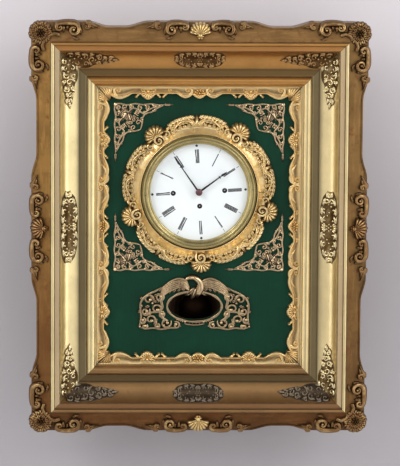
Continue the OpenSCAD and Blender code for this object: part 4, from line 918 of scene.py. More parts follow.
def shade_and_tarnish_bed(points):
    """A thin dark bed under a pierced casting, from its middle line (along, across, half width): painted
    shade and tarnish in its gaps.
    """
    line = curve(points, 40)
    grid = strap(line[:, :2], np.maximum(line[:, 2], 0.5), 0.45, sink=0.6, ends=(0.9, 0.5))[0]
    return grid, np.zeros(grid.shape[:2])


def casting(height, width, scrolls, fronds, knops):
    """Crowded scrolls and leaves, with bosses of their own heights among them."""
    return [
        *volutes(scrolls, 0.25, 1.2, height), *leaves(fronds, width, height - 0.4, CAST_SINK),
        *[boss((u, v), radius, high) for u, v, radius, high in knops],
    ]


def cove_spray():
    """One arm of a corner spray, which narrows to a point."""
    rows = [
        (2, 7.5, 6.8, 200, -150), (2.5, -6.5, 6.4, 20, 370), (14.5, 6.2, 6.2, 250, -100),
        (14, -6.0, 6.4, 60, 410), (26.5, 3.4, 6.6, 120, -230), (27.5, -8.4, 5.0, 320, 670),
        (38.5, -1.6, 6.4, 260, -90), (38, 9.2, 3.8, 100, 450), (50.5, 2.2, 5.6, 90, -260),
        (49, -7.6, 4.4, 300, 650), (61, -3.0, 4.8, 240, -110), (70.5, 0.6, 3.8, 80, 430),
    ]
    fronds = [
        (8, 0, 10, 12, 20), (20, 10, -30, 12, 26), (21, -2, -24, 12, 30), (33, 4, 28, 12, -30),
        (32, -5, -44, 11, 30), (44, 4, 10, 12, -24), (44, -6, -22, 13, 24), (56, 3, -14, 13, -22),
        (56, -8, 8, 12, 24), (66, -3, -24, 12, 24), (72, -2, -6, 14, -8), (68, 3, -8, 11, -18),
        (-4, 1, 170, 8, 30), (8, 12, 12, 11, -20), (9, -12, -10, 12, 20),
    ]
    knops = [(20, 1, 2.1, 5.0), (33, -1, 2.0, 4.8), (44.5, -2, 1.8, 4.4), (8, 1, 2.2, 5.2)]
    bed = [(-6, 0, 13), (10, 0, 14), (28, -2, 13), (42, 0, 11), (58, -2, 8), (72, -2, 5), (84, -4, 2)]
    return [shade_and_tarnish_bed(bed), *casting(4.4, 2.4, rows, fronds, knops)]


def cove_cartouche():
    """The pierced cartouche in the middle of a cove: crowded scrolls either side of a flower."""
    rows = [
        (10.5, 7.2, 6.0, 200, 560), (10.5, -7.4, 5.8, 160, -200), (22, 8.2, 5.6, 330, -30),
        (22.5, -8.2, 5.4, 30, 390), (21, 0.4, 4.4, 180, 540), (33, 4.6, 5.2, 200, 560),
        (33, -5.0, 5.0, 160, -200), (42, 0.2, 3.8, 330, -30),
    ]
    fronds = [
        (5, 11, 14, 12, 10), (5, -11, -14, 12, -10), (16, 12, 0, 12, -16), (16, -12, 0, 12, 16),
        (28, 10, -12, 12, -24), (28, -10, 12, 12, 24), (15, 2, 8, 9, 30), (27, -1, -8, 10, -30),
        (38, 3, 4, 9, -10), (38, -4, -4, 9, 10),
    ]
    half = casting(4.3, 2.3, rows, fronds, [(15.5, -3, 1.9, 4.8), (27.5, 3, 1.8, 4.6)])
    bed = [(-46, 0, 6), (-38, 0, 11), (-20, 0, 14.5), (0, 0, 14.5), (20, 0, 14.5), (38, 0, 11), (46, 0, 6)]
    return [
        shade_and_tarnish_bed(bed), *half, *mirrored(half), rosette((0, 0), 6.6, 5.4, 6, dish=0.9),
        shell((0, 4.5), 90, 9.0, 4.6, 5, 130), shell((0, -4.5), -90, 8.6, 4.4, 5, 130),
    ]


def cove_castings():
    """The castings of the side coves are bright, those above are brown and those below grey."""
    spray = scaled(cove_spray(), SPRAY_ALONG, CAST_ACROSS, CAST_HIGH)
    for group, sides, finish in (
        ("side", (1, 3), CAST_SILVER), ("top", (0,), CAST_GILT), ("bottom", (2,), CAST_GREY),
    ):
        cartouche = scaled(cove_cartouche(), CARTOUCHE_ALONG[group], CAST_ACROSS, CAST_HIGH)
        pairs = []
        for side in sides:
            start = half_length(side) - (COVE_AT + VALLEY_AT) / 2
            skins = [*slid(spray, -start), *slid(mirrored(spray), start), *cartouche]
            pairs.append((skins, on_cove(side)))
        make_piece(f"cove_castings_{group}", pairs, "front_frame", finish, ("cove_ornaments",))


cove_castings()


# Liner: a flat band with a rounded roll along its waving edge, scrolls, shells and flowers on it

LINER_MAX = LINER_W + 2.4            # how wide its swells may get
FAN = 20.5                           # reach of a corner's fan, from the inner corner to the rails
FAN_BACK = 21.5                      # how far the fan's root lies from the rails
FLOWER_AT = -10.5                    # middle of the flowers, inwards from the rail


def on_liner(side):
    """The liner's face: the first number runs along it from its middle, the second outwards."""
    edge = half_of_waist(side) - RAIL_W - LINER_GAP
    return lambda g: to_side(side, g[..., 0], edge + g[..., 1], PANEL + g[..., 2])


def liner_reach(side):
    """Half the length of the liner's rail at its outer edge."""
    return half_length(side) - RAIL_W - LINER_GAP


def liner_width(s, middles):
    """Width of the liner at s: 12 plus a smooth swell round each (place, height, half length)."""
    swell = np.zeros_like(s)
    for place, high, half in middles:
        share = np.clip((np.abs(s) - place) / half, -1, 1)
        swell = np.maximum(swell, high * np.cos(share * np.pi / 2) ** 1.2)
    return np.minimum(12.0 + swell, LINER_MAX)


def liner_band(reach, middles):
    """The band itself: for each place along it a section that is flat, dips, and ends in a roll.

    The section is written against w, from 0 at the rail to 1 at the free edge: 5.2 millimetres
    high, less a dip of 1.6 * sin(pi * w)**2, plus a roll of 2.6 * exp(-((w - 0.86) / 0.13)**2).
    """
    w = np.concatenate([[0, 0], np.linspace(0.02, 0.97, 20), [1.0, 1.0]])
    lift = 5.2 - 1.6 * np.sin(np.pi * w) ** 2 + 2.6 * np.exp(-(((w - 0.86) / 0.13) ** 2))
    lift[0], lift[-2], lift[-1] = 0.02, 3.2, 0.02
    along = np.linspace(-1, 1, 241) * reach
    inward = w[None, :] * liner_width(along, middles)[:, None]
    s = np.clip(along[:, None], inward - reach, reach - inward)
    grid = np.stack([s, -inward, np.broadcast_to(lift, s.shape)], 2)
    # The relief is low on the flat and in the dip and high on the roll, so the finish darkens the band and
    # leaves the roll bright: dirt, and painted shade.
    return grid, np.broadcast_to(0.22 + 0.78 * np.clip((lift - 3.6) / 3, 0, 1), s.shape)


def liner_scroll(start, end, width, big=4.6):
    """A scroll along the free edge: a volute near the rail, whose body swells and then tapers."""
    way = 1 if end > start else -1
    turn = spiral((0, 0), 1.2, big, -250, 95, 20)
    eye = np.stack([start + way * turn[:, 0], -5.8 + turn[:, 1]], 1)
    body = curve([
        (start - way * 1.0, -1.4), (start - way * 6.0, -6.5), (start - way * 1.5, -width + 2.6),
        (start + way * 8, -width + 2.4), ((start + end) / 2 + way * 4, -width + 5.2), (end, -7.6),
    ], 34)
    wide = np.interp(np.linspace(0, 1, len(body)), [0, 0.25, 0.5, 1], [1.4, 2.8, 3.3, 1.3])
    return [
        strap(eye, np.linspace(1.2, 1.9, len(eye)), 7.4, 0.4, ends=(0.8, 0.8)),
        strap(body, wide, 8.2, 0.25, ends=(0.5, 0.4)),
        boss((start, -5.8), 2.0, 8.4),
        leaf((start + way * 7, -width + 4.5), 90 - 90 * way, abs(end - start) * 0.5, 2.6, 8.6, 3),
    ]


def liner_hook(place, way):
    """A small hooked curl with a ball at its end."""
    path = curve([
        (place - way * 10, -9.5), (place - way * 4, -10.5), (place + way * 1, -13), (place + way * 4, -16.5),
    ], 20)
    return [
        strap(path, np.linspace(1.2, 2.1, len(path)), 6.6, 0.3),
        boss((place + way * 4.4, -16.4), 2.5, 7.6),
        *volute((place - way * 5, -6.0), 3.4, 1.0, 260, -100, 1.1, 6.2),
    ]


def liner_shell(place):
    """A fluted shell that opens towards the panel, with a swirl at its root."""
    return [
        shell((place, -8.5), -90, 13.0, 9.4, 9, 210),
        boss((place, -8.0), 3.6, 9.6),
        *volute((place + 6.5, -4.6), 3.0, 0.9, 90, 380, 1.0, 6.6),
        *volute((place - 6.5, -4.6), 3.0, 0.9, 90, -200, 1.0, 6.6),
    ]


def liner_flower():
    """The beaded flower in the middle of a side."""
    beads = [
        boss((7.0 * math.cos(a), FLOWER_AT + 5.6 * math.sin(a)), 2.3, 8.4) for a in np.arange(9) * TAU / 9
    ]
    return [*beads, rosette((0, FLOWER_AT), 6.2, 8.8, 6), boss((0, FLOWER_AT), 2.2, 9.6)]


def liner_fan(reach):
    """Half of a corner's fan: a quarter shell that opens outwards from the inner corner, up to the mitre.

    Its ribs are |cos(4.5 * pi * a)|, with a from 0 square to the rail to 1 at the mitre, and its
    straight edge follows the rails.
    """
    a = np.linspace(0, 1, 33)[:, None]
    r = np.linspace(0.06, 1, 14)[None, :]
    ridge = np.abs(np.cos(np.pi * 4.5 * a))
    angle = np.radians(94 - 49 * a)
    radius = FAN / np.maximum(np.sin(angle), np.cos(angle) * 0.98)
    x = FAN_BACK - reach - radius * r * np.cos(angle) - 0.15
    y = np.minimum(radius * r * np.sin(angle) - FAN_BACK, -0.3)
    lift = (4.5 + 4.2 * np.sin(np.pi * r**0.8)) * (1 - 0.22 * (1 - ridge))
    # The relief is lower between the ribs and at the root and edge, which the finishes paint darker: painted
    # shade.
    return [backed(np.stack([x, y, lift], 2), 0.2 + 0.8 * ridge * np.sin(np.pi * r**0.8), 1.0)]


def level_rail():
    """Swells and half the ornament of the liner's top and bottom rails."""
    swells = [(0, 7.5, 13), (22, 7.0, 14), (80, 9.4, 13), (124, 8.6, 20)]
    return swells, [
        *liner_scroll(17.5, 38, 17.0, 4.2), *liner_hook(52, 1), *liner_hook(66, -1),
        *liner_shell(80), *liner_hook(94, 1), *liner_scroll(127, 102, 19.0),
    ]


def upright_rail():
    """Swells and half the ornament of the liner's left and right rails."""
    swells = [(0, 8.5, 12), (47, 7.8, 22), (88, 7.8, 22), (136, 9.4, 13), (184, 8.6, 20)]
    return swells, [
        *liner_hook(17, -1), *liner_hook(28, 1), *liner_scroll(60, 36, 18.5),
        *liner_scroll(73, 98, 18.5), *liner_hook(112, -1), *liner_hook(122, 1),
        *liner_shell(136), *liner_hook(151, 1), *liner_scroll(187, 160, 19.0),
    ]


def liner_pieces():
    """The four carved rails, and the cracks in their mitres as thin dark lines over the fans."""
    cracks = []
    for side, name in enumerate(("liner_top", "liner_right", "liner_bottom", "liner_left")):
        reach = liner_reach(side)
        swells, half = upright_rail() if side % 2 else level_rail()
        fan = liner_fan(reach)
        skins = [liner_band(reach, swells), *half, *mirrored(half), *liner_flower(), *fan, *mirrored(fan)]
        pairs = [(skins, on_liner(side))]
        make_piece(f"{name}_carving", pairs, "front_frame", PALE_GOLD, (name,))
        mitre = np.stack([np.linspace(-reach, FAN - reach, 24), np.linspace(-0.3, -FAN - 0.3, 24)], 1)
        cracks.append(([strap(mitre, 0.32, 9.3, ends=(1, 1))], on_liner(side)))
    make_piece("liner_mitre_cracks", cracks, "front_frame", CRACK)


liner_pieces()


# Surround of the dial: a smooth hollow ring, then leafwork, with five shells over scrolls

SURROUND_IN, LEAF_LINE = 91.6, 111.0
HOLLOW_W, HOLLOW_H = 13.0, 13.0      # width of the smooth hollow, and its height at the dial
SHELL_GAP = 72
SHELL_ANGLES = [272 + SHELL_GAP * i for i in range(5)]


def surround_edge(angle):
    """Radius of the outer edge: 111, with swells at and half way between the shells, and scallops."""
    d = np.min([np.abs((angle - a + 180) % 360 - 180) for a in SHELL_ANGLES], 0)
    swell = 5.0 * np.cos(np.clip(d / 13, 0, 1) * np.pi / 2) ** 1.5
    middle = 8.6 * np.cos(np.clip(np.abs(d - SHELL_GAP / 2) / 24, 0, 1) * np.pi / 2) ** 0.7
    return LEAF_LINE + np.maximum(swell, middle) + 1.2 * np.abs(np.cos(np.radians(angle) * 30))


def on_ring(g):
    """A plane about the dial's centre: the first number is an angle in degrees, the second a radius."""
    a, r = np.radians(g[..., 0]), g[..., 1]
    return np.stack([DIAL_X + r * np.cos(a), -(PANEL + g[..., 2]), DIAL_Z + r * np.sin(a)], -1)


def surround_body():
    """A ring with a smooth hollow and, outside it, a flat bed under the leafwork.

    The hollow's height is 13 - 8.4 * sin(pi * v / 2)**0.9, with v from 0 to 1 over 13 millimetres,
    and the bed, with v from 1 to 2, is 4.6 high and rounds down at its edge.
    """
    v = np.concatenate([[0], np.linspace(0, 1, 18), np.linspace(1, 2, 14)[1:], [2]])
    a = np.linspace(0, 360, 541)[:-1]
    start = SURROUND_IN + HOLLOW_W
    bed_w = surround_edge(a)[:, None] - start
    radius = start + np.where(v <= 1, HOLLOW_W, bed_w) * (v - 1)
    lift = np.where(
        v <= 1,
        HOLLOW_H - 8.4 * np.sin(np.pi * np.clip(v, 0, 1) / 2) ** 0.9,
        4.6 * np.sqrt(np.clip((2.02 - v) / 0.3, 0.01, 1)),
    )
    lift[0] = lift[-1] = 0.02
    grid = np.stack(np.broadcast_arrays(a[:, None], radius, lift), 2)
    # The hollow keeps a high relief and so its bright leaf; from its outer edge and over the bed the relief
    # is low, which paints shade under the leafwork.
    relief = np.broadcast_to(np.where(v <= 1, 0.95 - 3.0 * np.clip(v - 0.8, 0, 1), 0.06), radius.shape)
    return np.concatenate([grid, grid[:1]]), np.concatenate([relief, relief[:1]])


def bent(skins, angle):
    """Skins drawn along a straight line, bent round the leafwork's circle with their middle at an angle."""
    out = []
    for grid, relief in skins:
        a = np.radians(angle) - grid[..., 0] / LEAF_LINE
        r = LEAF_LINE + grid[..., 1]
        out.append((np.stack([r * np.cos(a), r * np.sin(a), grid[..., 2]], -1), relief))
    return out


def surround_shell():
    """A big shell over a volute whose strap winds round its root on a dark disc, between two small volutes.
    """
    # The disc under the winding strap has almost no relief, so it is painted dark: painted shade in the
    # volute's eye.
    grid, relief = boss((0, -8), 10.0, 13.0)
    hollow = (grid, relief * 0.05)
    winding = spiral((0, -8), 9.4, 2.8, -40, 440, 60)
    return [
        shell((0, -1), 90, 18.5, 15.5, 9, 192, rings=16, start=0.6),
        hollow,
        strap(winding, np.linspace(2.9, 1.6, len(winding)), 17.0, 0.2, ends=(0.5, 0.8)),
        boss((0, -8), 2.6, 16.5),
        *volute((17.5, -7), 6.0, 1.8, 130, -260, 2.2, 14.5, 0.2),
        *volute((-17.5, -7), 6.0, 1.8, 50, 440, 2.2, 14.5, 0.2),
        lobe((19, -2), 40, 12, 3.4, 11.0, 2, curl=-40),
        lobe((-19, -2), 140, 12, 3.4, 11.0, 2, curl=40),
    ]


def surround_leafage():
    """The leafwork between two shells.

    A palmette stands in the middle, and on each side of it three rows of leaves lean away over a
    wave of scrolls. Past 22 millimetres a row sinks by 5.5 * ((x - 22) / 24)**2.
    """
    skins = []
    for row, (height, lean, length, wide, out, gap) in enumerate((
        (8.5, 54, 10.5, 4.0, 3.2, 5.6), (10.5, 30, 11.5, 4.0, -1.2, 6.2), (11.5, 4, 12.0, 3.2, -5.0, 7.6),
    )):
        for i in range(int(40 / gap)):
            x = 4 + gap * (i + 0.3 * row)
            sag = 5.5 * max(0.0, (x - 22) / 24) ** 2
            skins.append(leaf((x, out - sag), lean - x * 0.5, length, wide, height, 3, curl=-38 + 16 * row))
    wave = curve([(5, -7), (10, 0), (18, 3.6), (27, 2.0), (35, -2.5), (42, -6)], 40)
    half = [
        *skins,
        strap(wave, np.linspace(2.4, 1.5, len(wave)), 13.5, 0.1, ends=(0.7, 0.4)),
        *volute((9.5, -4.6), 4.2, 1.2, 90, -260, 1.6, 13.0, 0.3),
        *volute((42.5, -6), 4.4, 1.2, 110, 460, 1.6, 12.0, 0.3),
        *volute((27, -3.6), 3.4, 1.0, 200, 520, 1.3, 12.0, 0.3),
    ]
    palmette = [lobe((0, -8), a, 18, 3.6, 13.0, 2, curl=c) for a, c in ((90, 0), (62, -30), (118, 30))]
    return [*half, *mirrored(half), *palmette]


def surround_pieces():
    """The ring with its five shells, and the five runs of leafwork between them."""
    place = on_front(PANEL, DIAL_X, DIAL_Z)
    shells, leafage = [], []
    for a in SHELL_ANGLES:
        shells += bent(surround_shell(), a)
        leafage += bent(surround_leafage(), a + SHELL_GAP / 2)
    for name, pairs in (
        ("dial_surround_shells", [([surround_body()], on_ring), (shells, place)]),
        ("dial_surround_leafage", [(leafage, place)]),
    ):
        make_piece(name, pairs, "front_frame", SURROUND_GOLD, ("dial_surround",))


surround_pieces()


def bezel_flange():
    """A narrow brass ring behind the bezel's edge, which shows in the gap round it.

    Its section, five pairs of radius and height, is carried round the dial's centre.
    """
    a = np.linspace(0, 360, 181)
    section = np.array([(-0.8, -10), (-0.8, 6.4), (1.0, 6.4), (1.3, 5.6), (1.3, -10)])
    grid = np.stack(np.broadcast_arrays(a[:, None], BEZEL_R + section[:, 0], section[:, 1]), 2)
    pairs = [([(grid, np.ones(grid.shape[:2]))], on_ring)]
    make_piece("bezel_flange", pairs, "clock_case", BEZEL_BRASS, smooth=False)


bezel_flange()


# Castings on the green panel: four corner spandrels and the ornament round the pendulum window


def spandrel_half():
    """Half of a spandrel, below its diagonal: the first number runs along the edge from the corner."""
    edge = curve([(1, 2.4), (10, 1.6), (22, 3.6), (34, 1.8), (46, 3.2), (58, 2.0), (70, 3.6), (80, 3.2)], 60)
    rim = curve([(78, 4.5), (68, 9), (60, 14.5), (51, 17), (46, 23), (45, 31), (43.5, 38), (42, 42.5)], 46)
    stem = curve([(22, 16), (30, 9), (38, 11), (46, 17), (54, 12), (62, 8), (72, 6)], 40)
    cells = [
        (8, 6.5, 4.2, 200, -200), (18, 7, 4.6, 90, 470), (29, 6.6, 4.2, 250, -130),
        (38.5, 15.5, 5.0, 80, 450), (42, 8, 4.6, 270, -100), (54, 7.6, 4.2, 80, 440),
        (65, 6.2, 3.4, 270, -80), (39, 31.5, 4.8, 10, -340), (31, 27.5, 3.8, 200, 560),
        (48.5, 15, 3.4, 0, 330),
    ]
    fronds = [
        (78, 3.4, 0, 16, 2.4, 0), (34, 13, 32, 10, 2.6, 30), (48, 15, 40, 8, 2.3, -30),
        (52, 12, -20, 10, 2.3, 24), (24, 11, -30, 10, 2.6, 24), (60, 12, 10, 9, 2.2, -18),
        (29, 20, 30, 11, 2.8, 24), (12, 9.5, -12, 8, 2.5, 30), (36, 22, 60, 10, 2.4, -30),
        (44, 22, 100, 9, 2.2, 30),
    ]
    knobs = [
        (27, 3.5, 2.3), (50, 4.4, 2.1), (61, 3.6, 1.9), (72, 4.6, 1.9), (45.5, 26.5, 2.1), (33.5, 17, 2.0),
    ]
    return [
        strap(edge, 1.6, 3.0, 0.2), strap(rim, 1.55, 2.8, 0.2), strap(stem, 1.45, 3.2, 0.2),
        *volutes(cells, 0.27, 1.35, 3.2, 0.2, 1.3),
        *[leaf((u, v), angle, length, width, 3.2, 3, curl) for u, v, angle, length, width, curl in fronds],
        *bosses(knobs, 3.2),
    ]


def spandrel_flower():
    """The flower of a spandrel: two broad petals with swollen middles and leaves behind them."""
    return [
        *[leaf((19.5, 19.5), a, 14.0, 3.6, 3.0, 4) for a in (20, 70, 128, 225, -38, 178, 272)],
        lobe((13.5, 25.5), -55, 15.0, 5.4, 5.0, 3), lobe((27.0, 29.0), -108, 17.0, 5.4, 5.2, 3),
        boss((18.0, 18.0), 3.4, 4.4), boss((3.0, 3.0), 3.4, 3.4), boss((8.5, 13.5), 2.4, 3.2),
    ]


def spandrels():
    """The second half of each spandrel is the first one mirrored across its diagonal."""
    low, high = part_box("spandrels")
    half = spandrel_half()
    other = [(grid[..., [1, 0, 2]], relief) for grid, relief in half]
    skins = [*half, *other, *spandrel_flower()]
    pairs = in_corners(skins, PANEL, (low.x / MM, high.x / MM), (low.z / MM, high.z / MM))
    make_piece("spandrel_castings", pairs, "front_frame", PINK_BRASS, ("spandrels",))


spandrels()

WINDOW_Z = -127.5
WINDOW_A, WINDOW_B = 43.0, 24.2      # half axes of the rim round the opening


def oval(a, b, start, end, count):
    """Points on an ellipse with half axes a and b, from one angle to another in degrees."""
    t = np.radians(np.linspace(start, end, count))
    return np.stack([a * np.cos(t), b * np.sin(t)], 1)


def wing():
    """One spread wing: long feathers side by side that follow the rim, with short coverts over them."""
    skins = []
    for k, off in enumerate((-7.0, -3.9, -0.8, 2.3, 5.0)):
        feather = curve([
            (8, 29 + off * 0.5), (19, 36.5 + off * 0.8), (32, 34.5 + off), (46, 26.5 + off),
            (58 - 1.2 * k, 16 + 1.5 * off),
        ], 34)
        skins.append(strap(feather, 1.6, 4.4 + 0.3 * k, 0.1, ends=(0.7, 0.35)))
    for k in range(5):
        skins.append(leaf((14 + 7.5 * k, 29.5 - 0.32 * k * k), -42 - 4 * k, 10.5, 2.4, 4.6, 3, curl=-16))
    for row, (x, y, high) in enumerate(((13, 33, 6.6), (21, 37.5, 6.2), (30, 36.5, 5.6))):
        for k in range(4):
            skins.append(leaf((x + 0.6 * k, y + 3.6 - 3.0 * k), 8 - 17 * row, 12, 1.7, high, 2, curl=-14))
    bone = curve([(9, 33), (15, 41.5), (25, 44.5), (37, 40), (49, 31), (56, 24)], 34)
    return [*skins, strap(bone, np.linspace(2.8, 1.2, len(bone)), 6.0, 0.15)]


def eagle():
    """Body, bent neck, head with its beak to the left, and the tail that hangs over the rim."""
    neck = curve([(5, 20), (9.5, 29), (8.5, 38), (2, 44.5), (-5, 46.4), (-12, 44.6), (-16, 40.6)], 40)
    share = np.linspace(0, 1, len(neck))
    thick = np.interp(share, [0, 0.25, 0.55, 0.75, 0.9, 1], [7.0, 6.4, 4.8, 4.2, 2.8, 1.0])
    return [
        strap(neck, thick, 8.0, ends=(0.8, 0.4), taper=0.15),
        boss((-3.5, 46.0), 4.4, 8.6),
        lobe((3, 31), -112, 21, 6.0, 7.6), lobe((6, 28), -96, 15, 4.0, 8.0, 2),
        lobe((0, 30), -134, 17, 3.8, 6.6, 2),
        leaf((-3, 24), -152, 15, 3.8, 5.0, 3), leaf((9, 24), -30, 15, 3.8, 5.0, 3),
        *[boss((5.4 + 1.8 * math.cos(1.1 * i), 22.5 + 2.6 * i), 2.0, 9.0 - 0.1 * i) for i in range(5)],
    ]


def window_side():
    """One side of the ornament: open cells of scrolls from under the wing down to the foot."""
    cells = [
        (55, 15, 8.0, 150, 520), (72, 11, 9.0, 200, -170), (60, -4, 9.0, 220, -140),
        (77, -8, 8.0, 140, 520), (52, -13, 5.5, 120, 500), (69, -21, 9.0, 240, -130),
        (82, -23, 6.0, 110, 480), (45, -26, 9.5, 150, 540), (59, -31, 5.0, 230, -140),
        (78, -32, 5.0, 130, 490), (28.5, -30, 6.4, 60, 430),
    ]
    fronds = [
        (58, 7, 20, 14, 28), (70, 2, -30, 13, 26), (57, -20, -24, 15, 30), (70, -22, 10, 14, -28),
        (45, -18, -60, 13, 30), (78, -24, -30, 11, 0), (52, 20, -14, 18, -22), (66, 10, 60, 9, 0),
        (80, 12, 20, 8, 0), (84, -8, -10, 7, 0),
    ]
    knobs = [(56, -5), (70, -12), (60, -25), (86, -32), (74, 17), (48, -30), (66, 5), (83, 1)]
    outer = [(52, 30), (60, 25), (69, 21), (78, 15), (84, 7), (85, -3), (84, -14), (84.5, -24), (87, -32)]
    inner = [(47, 18), (52, 9), (50.5, -1), (54, -9), (50, -18), (41, -23)]
    foot = [(87, -33), (76, -35.2), (64, -34.4), (52, -36.4), (38, -34), (29, -34), (21, -31)]
    stalk = [(48, -8), (58, -8.5), (68, -9.5), (80, -12)]
    return [
        *volutes(cells, 0.28, 2.3, 5.0, 0.2, 1.5),
        strap(curve(outer, 60), 2.1, 4.2, 0.2), strap(curve(inner, 40), 2.8, 5.2, 0.2),
        strap(curve(foot, 44), 1.8, 3.8, 0.2), strap(curve(stalk, 30), 2.2, 4.8, 0.2),
        *leaves(fronds, 3.2, 4.6), *[boss(place, 2.5, 5.0) for place in knobs],
    ]


def window_foot():
    """The bottom of the rim: a double band with two square knops, joined by pellets."""
    low = -WINDOW_B
    steps = [(27.5 - 3 * i, low + 3.4 - 1.1 * i) for i in range(4)]
    return [
        strap(oval(WINDOW_A - 1, WINDOW_B + 5.2, 248, 292, 30), 1.3, 3.8, 0.2),
        *[boss((x, low + 0.06), 2.7, 4.8) for x in (-14.5, 14.5)],
        *[boss((x, low - 2.6), 1.1, 3.6) for x in (-8, -2.7, 2.7, 8)],
        *[boss((way * x, z), 1.7, 4.2) for way in (-1, 1) for x, z in steps],
    ]


def window_casting():
    """Both sides and the eagle over the rim, an ellipse whose half width waves nine times round it."""
    side = window_side() + wing()
    rim = oval(WINDOW_A, WINDOW_B, 0, 360, 90)
    waves = np.cos(TAU * 9 * np.linspace(0, 1, len(rim)))
    skins = [
        *side, *mirrored(side), *eagle(), *window_foot(),
        strap(rim, 2.2 + 0.5 * waves, 4.4, 0.25, ends=(1, 1)),
    ]
    pairs = [(skins, on_front(PANEL, middle_of("window_ornament")[0], WINDOW_Z))]
    make_piece("window_casting", pairs, "front_frame", OLD_BRASS, ("window_ornament",))


window_casting()


# Figures of the dial: condensed Roman numerals with their feet to the centre, dots and ticks

FIGURE_LOW, FIGURE_HIGH = 45.5, 67.0
THICK, THIN, PITCH = 1.5, 0.55, 1.75
LEAN = PITCH * 0.42                  # how far half a slanting stroke leans over
NUMERALS = ("XII", "I", "II", "III", "IIII", "V", "VI", "VII", "VIII", "IX", "X", "XI")
LETTER_PITCHES = {"I": 1.0, "V": 1.7, "X": 1.7}
# Strokes of each letter: where the foot and the head lie, in leans from its middle, and the width
LETTERS = {"I": [(0, 0, THICK)], "V": [(0, -1, THICK), (0, 1.3, THIN)], "X": [(1, -1, THICK), (-1, 1, THIN)]}
PRINT_PROUD, PRINT_SINK = 0.12, 0.2
PRINT_AT = 0.03                      # the print's ground, before the dial's front
HUB_AT = 7.6                         # the collar's ground, before the dial's front


def stroke(x0, y0, x1, y1, width):
    """A flat stroke between two points, hardly proud of the enamel."""
    return strap([(x0, y0), (x1, y1)], width / 2, PRINT_PROUD, sink=PRINT_SINK, points=3, ends=(1, 1))


def numeral(text):
    """The strokes of a numeral, centred, with its foot towards the dial's middle."""
    widths = [LETTER_PITCHES[letter] * PITCH for letter in text]
    ends = np.cumsum(widths)
    skins = []
    for letter, wide, end in zip(text, widths, ends):
        x = end - wide / 2 - ends[-1] / 2
        for foot, head, width in LETTERS[letter]:
            skins.append(stroke(x + foot * LEAN, FIGURE_LOW, x + head * LEAN, FIGURE_HIGH, width))
    return skins


def dial_figures():
    """The twelve hours, with a dot outside every third one and a tick outside the others."""
    dot = boss((0, 73.0), 2.0, PRINT_PROUD, PRINT_SINK, rings=2)
    tick = stroke(0, 69.5, 0, 74.3, 0.7)
    skins = []
    for hour, text in enumerate(NUMERALS):
        mark = tick if hour % 3 else dot
        skins += turned([*numeral(text), mark], math.degrees(TILT) - 30 * hour)
    pairs = [(skins, on_front(DIAL_FRONT + PRINT_AT, DIAL_X, DIAL_Z))]
    make_piece("dial_figures", pairs, "clock_case", black_print("fired_black"), smooth=False)


dial_figures()


def hand_hub():
    """The domed collar over the hands."""
    collar = boss((0, 0), 5.2, 1.9, 0.6, rings=8, around=36)
    pairs = [([collar], on_front(DIAL_FRONT + HUB_AT, DIAL_X, DIAL_Z))]
    make_piece("hand_hub", pairs, "centre_arbor", HUB)


hand_hub()


def winding_squares():
    """The bright ends of the squares on which the three trains are wound."""
    for train in ("going", "hour", "quarter"):
        arbor = f"{train}_arbor"
        place = on_front(-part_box(arbor)[0].y / MM, *middle_of(arbor))
        pairs = [([boss((0, 0), 1.15, 0.5, 0.3, rings=4)], place)]
        make_piece(f"{train}_square_end", pairs, f"{train}_key_arbor", STEEL)


winding_squares()


# Wall, floor and light, in metres

WALL_REACH = 6.0
WALL_BACK = 0.0012                   # how far the wall lies behind the clock
FLOOR_AT = -1.1
MAUVE_WHITE, FLOOR_WHITE = (0.64, 0.612, 0.645), (0.72, 0.71, 0.71)
WARM, SUNNY, WHITE = (1.0, 0.99, 0.97), (1.0, 0.985, 0.96), (1.0, 1.0, 1.0)
SKY, SKY_LEVEL = (0.86, 0.87, 0.90, 1), 0.32


def plain(name, colour, fall=0.0):
    """A matt, pale ground with a faint unevenness; where fall is given, painted shade darkens it downwards.
    """
    shop = Workshop(name)
    tone = shop.mix(shop.noise(900, 2, 0.5), colour, shade(colour, 0.97))
    low_down = 1 - shop.axis("Z").span(-100, 420)
    shop.surface(shop.mix(low_down * fall, tone, shade(colour, 0.6)), None, Roughness=0.9)
    return shop


def sheet(name, corners, material):
    """A flat sheet between four corners, which isn't part of the clock."""
    mesh = bpy.data.meshes.new(name)
    mesh.from_pydata(corners, [], [(0, 1, 2, 3)])
    mesh.materials.append(material)
    made = bpy.data.objects.new(name, mesh)
    bpy.context.scene.collection.objects.link(made)


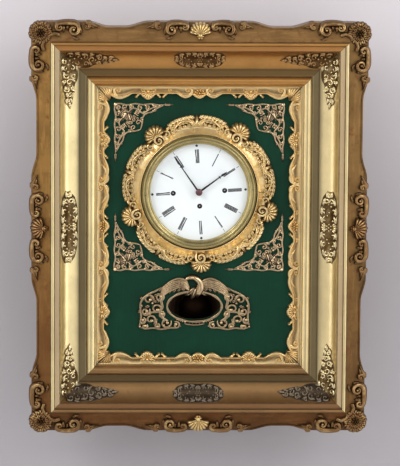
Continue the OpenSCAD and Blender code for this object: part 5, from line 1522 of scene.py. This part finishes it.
def make_room():
    """A pale wall behind the clock, which is clear from behind and to light, and a pale floor."""
    # The wall is painted darker towards the bottom: painted shade in place of light that falls off.
    wall = plain("pale_wall", MAUVE_WHITE, 0.85)
    clear = wall.node("ShaderNodeBsdfTransparent", {})
    behind = wall.node("ShaderNodeNewGeometry", {}, output=6)
    shadow = wall.node("ShaderNodeLightPath", {}, output=1)
    matt = Value(wall, wall.shader.outputs[0])
    seen = wall.node("ShaderNodeMixShader", {}, behind.most(shadow), matt, clear)
    wall.tree.links.new(seen.socket, wall.tree.nodes["Material Output"].inputs["Surface"])
    left, right = -WALL_REACH, WALL_REACH
    wall_corners = [(left, FLOOR_AT), (right, FLOOR_AT), (right, WALL_REACH), (left, WALL_REACH)]
    floor_corners = [(left, left), (right, left), (right, right), (left, right)]
    sheet("wall", [(x, WALL_BACK, z) for x, z in wall_corners], wall.material)
    floor = plain("pale_floor", FLOOR_WHITE)
    sheet("floor", [(x, y, FLOOR_AT) for x, y in floor_corners], floor.material)


def lamp(name, place, aim, width, height, watts, colour=WHITE):
    """A rectangular soft lamp that faces a point."""
    data = bpy.data.lights.new(name, "AREA")
    data.shape = "RECTANGLE"
    data.size, data.size_y = width, height
    data.energy = watts
    data.color = colour
    made = bpy.data.objects.new(name, data)
    made.location = place
    made.rotation_euler = (Vector(aim) - Vector(place)).to_track_quat("-Z", "Y").to_euler()
    bpy.context.scene.collection.objects.link(made)


def make_lights():
    """Softboxes and strips on both sides, lamps above and in front, and one behind."""
    for name, place, aim, size, watts, colour in (
        ("{}_softbox", (1.28, -1.53, 0.28), (-0.21, -0.96, 0.28), (3.4, 1.9), (15, 21.5), WARM),
        ("{}_strip", (1.25, -0.35, 0.0), (0, 0, 0), (0.22, 2.0), (2.4, 2.8), WHITE),
        ("upper_{}", (2.0, -1.8, 1.9), (0, 0, 0), (1.2, 1.2), (36, 30), SUNNY),
    ):
        for side, way, power in zip(("left", "right"), (-1, 1), watts):
            flip = np.array([way, 1, 1])
            lamp(name.format(side), flip * place, flip * aim, *size, power, colour)
    lamp("front_fill", (0, -3.2, 1.5), (0, 0, 0), 3.0, 1.0, 12)
    lamp("back_fill", (0.6, 2.4, 1.0), (0, 0, 0), 2.0, 2.0, 40)
    world = bpy.data.worlds.new("room_light")
    world.use_nodes = True
    colour, strength = world.node_tree.nodes["Background"].inputs[:2]
    colour.default_value = SKY
    strength.default_value = SKY_LEVEL
    bpy.context.scene.world = world


make_room()
make_lights()
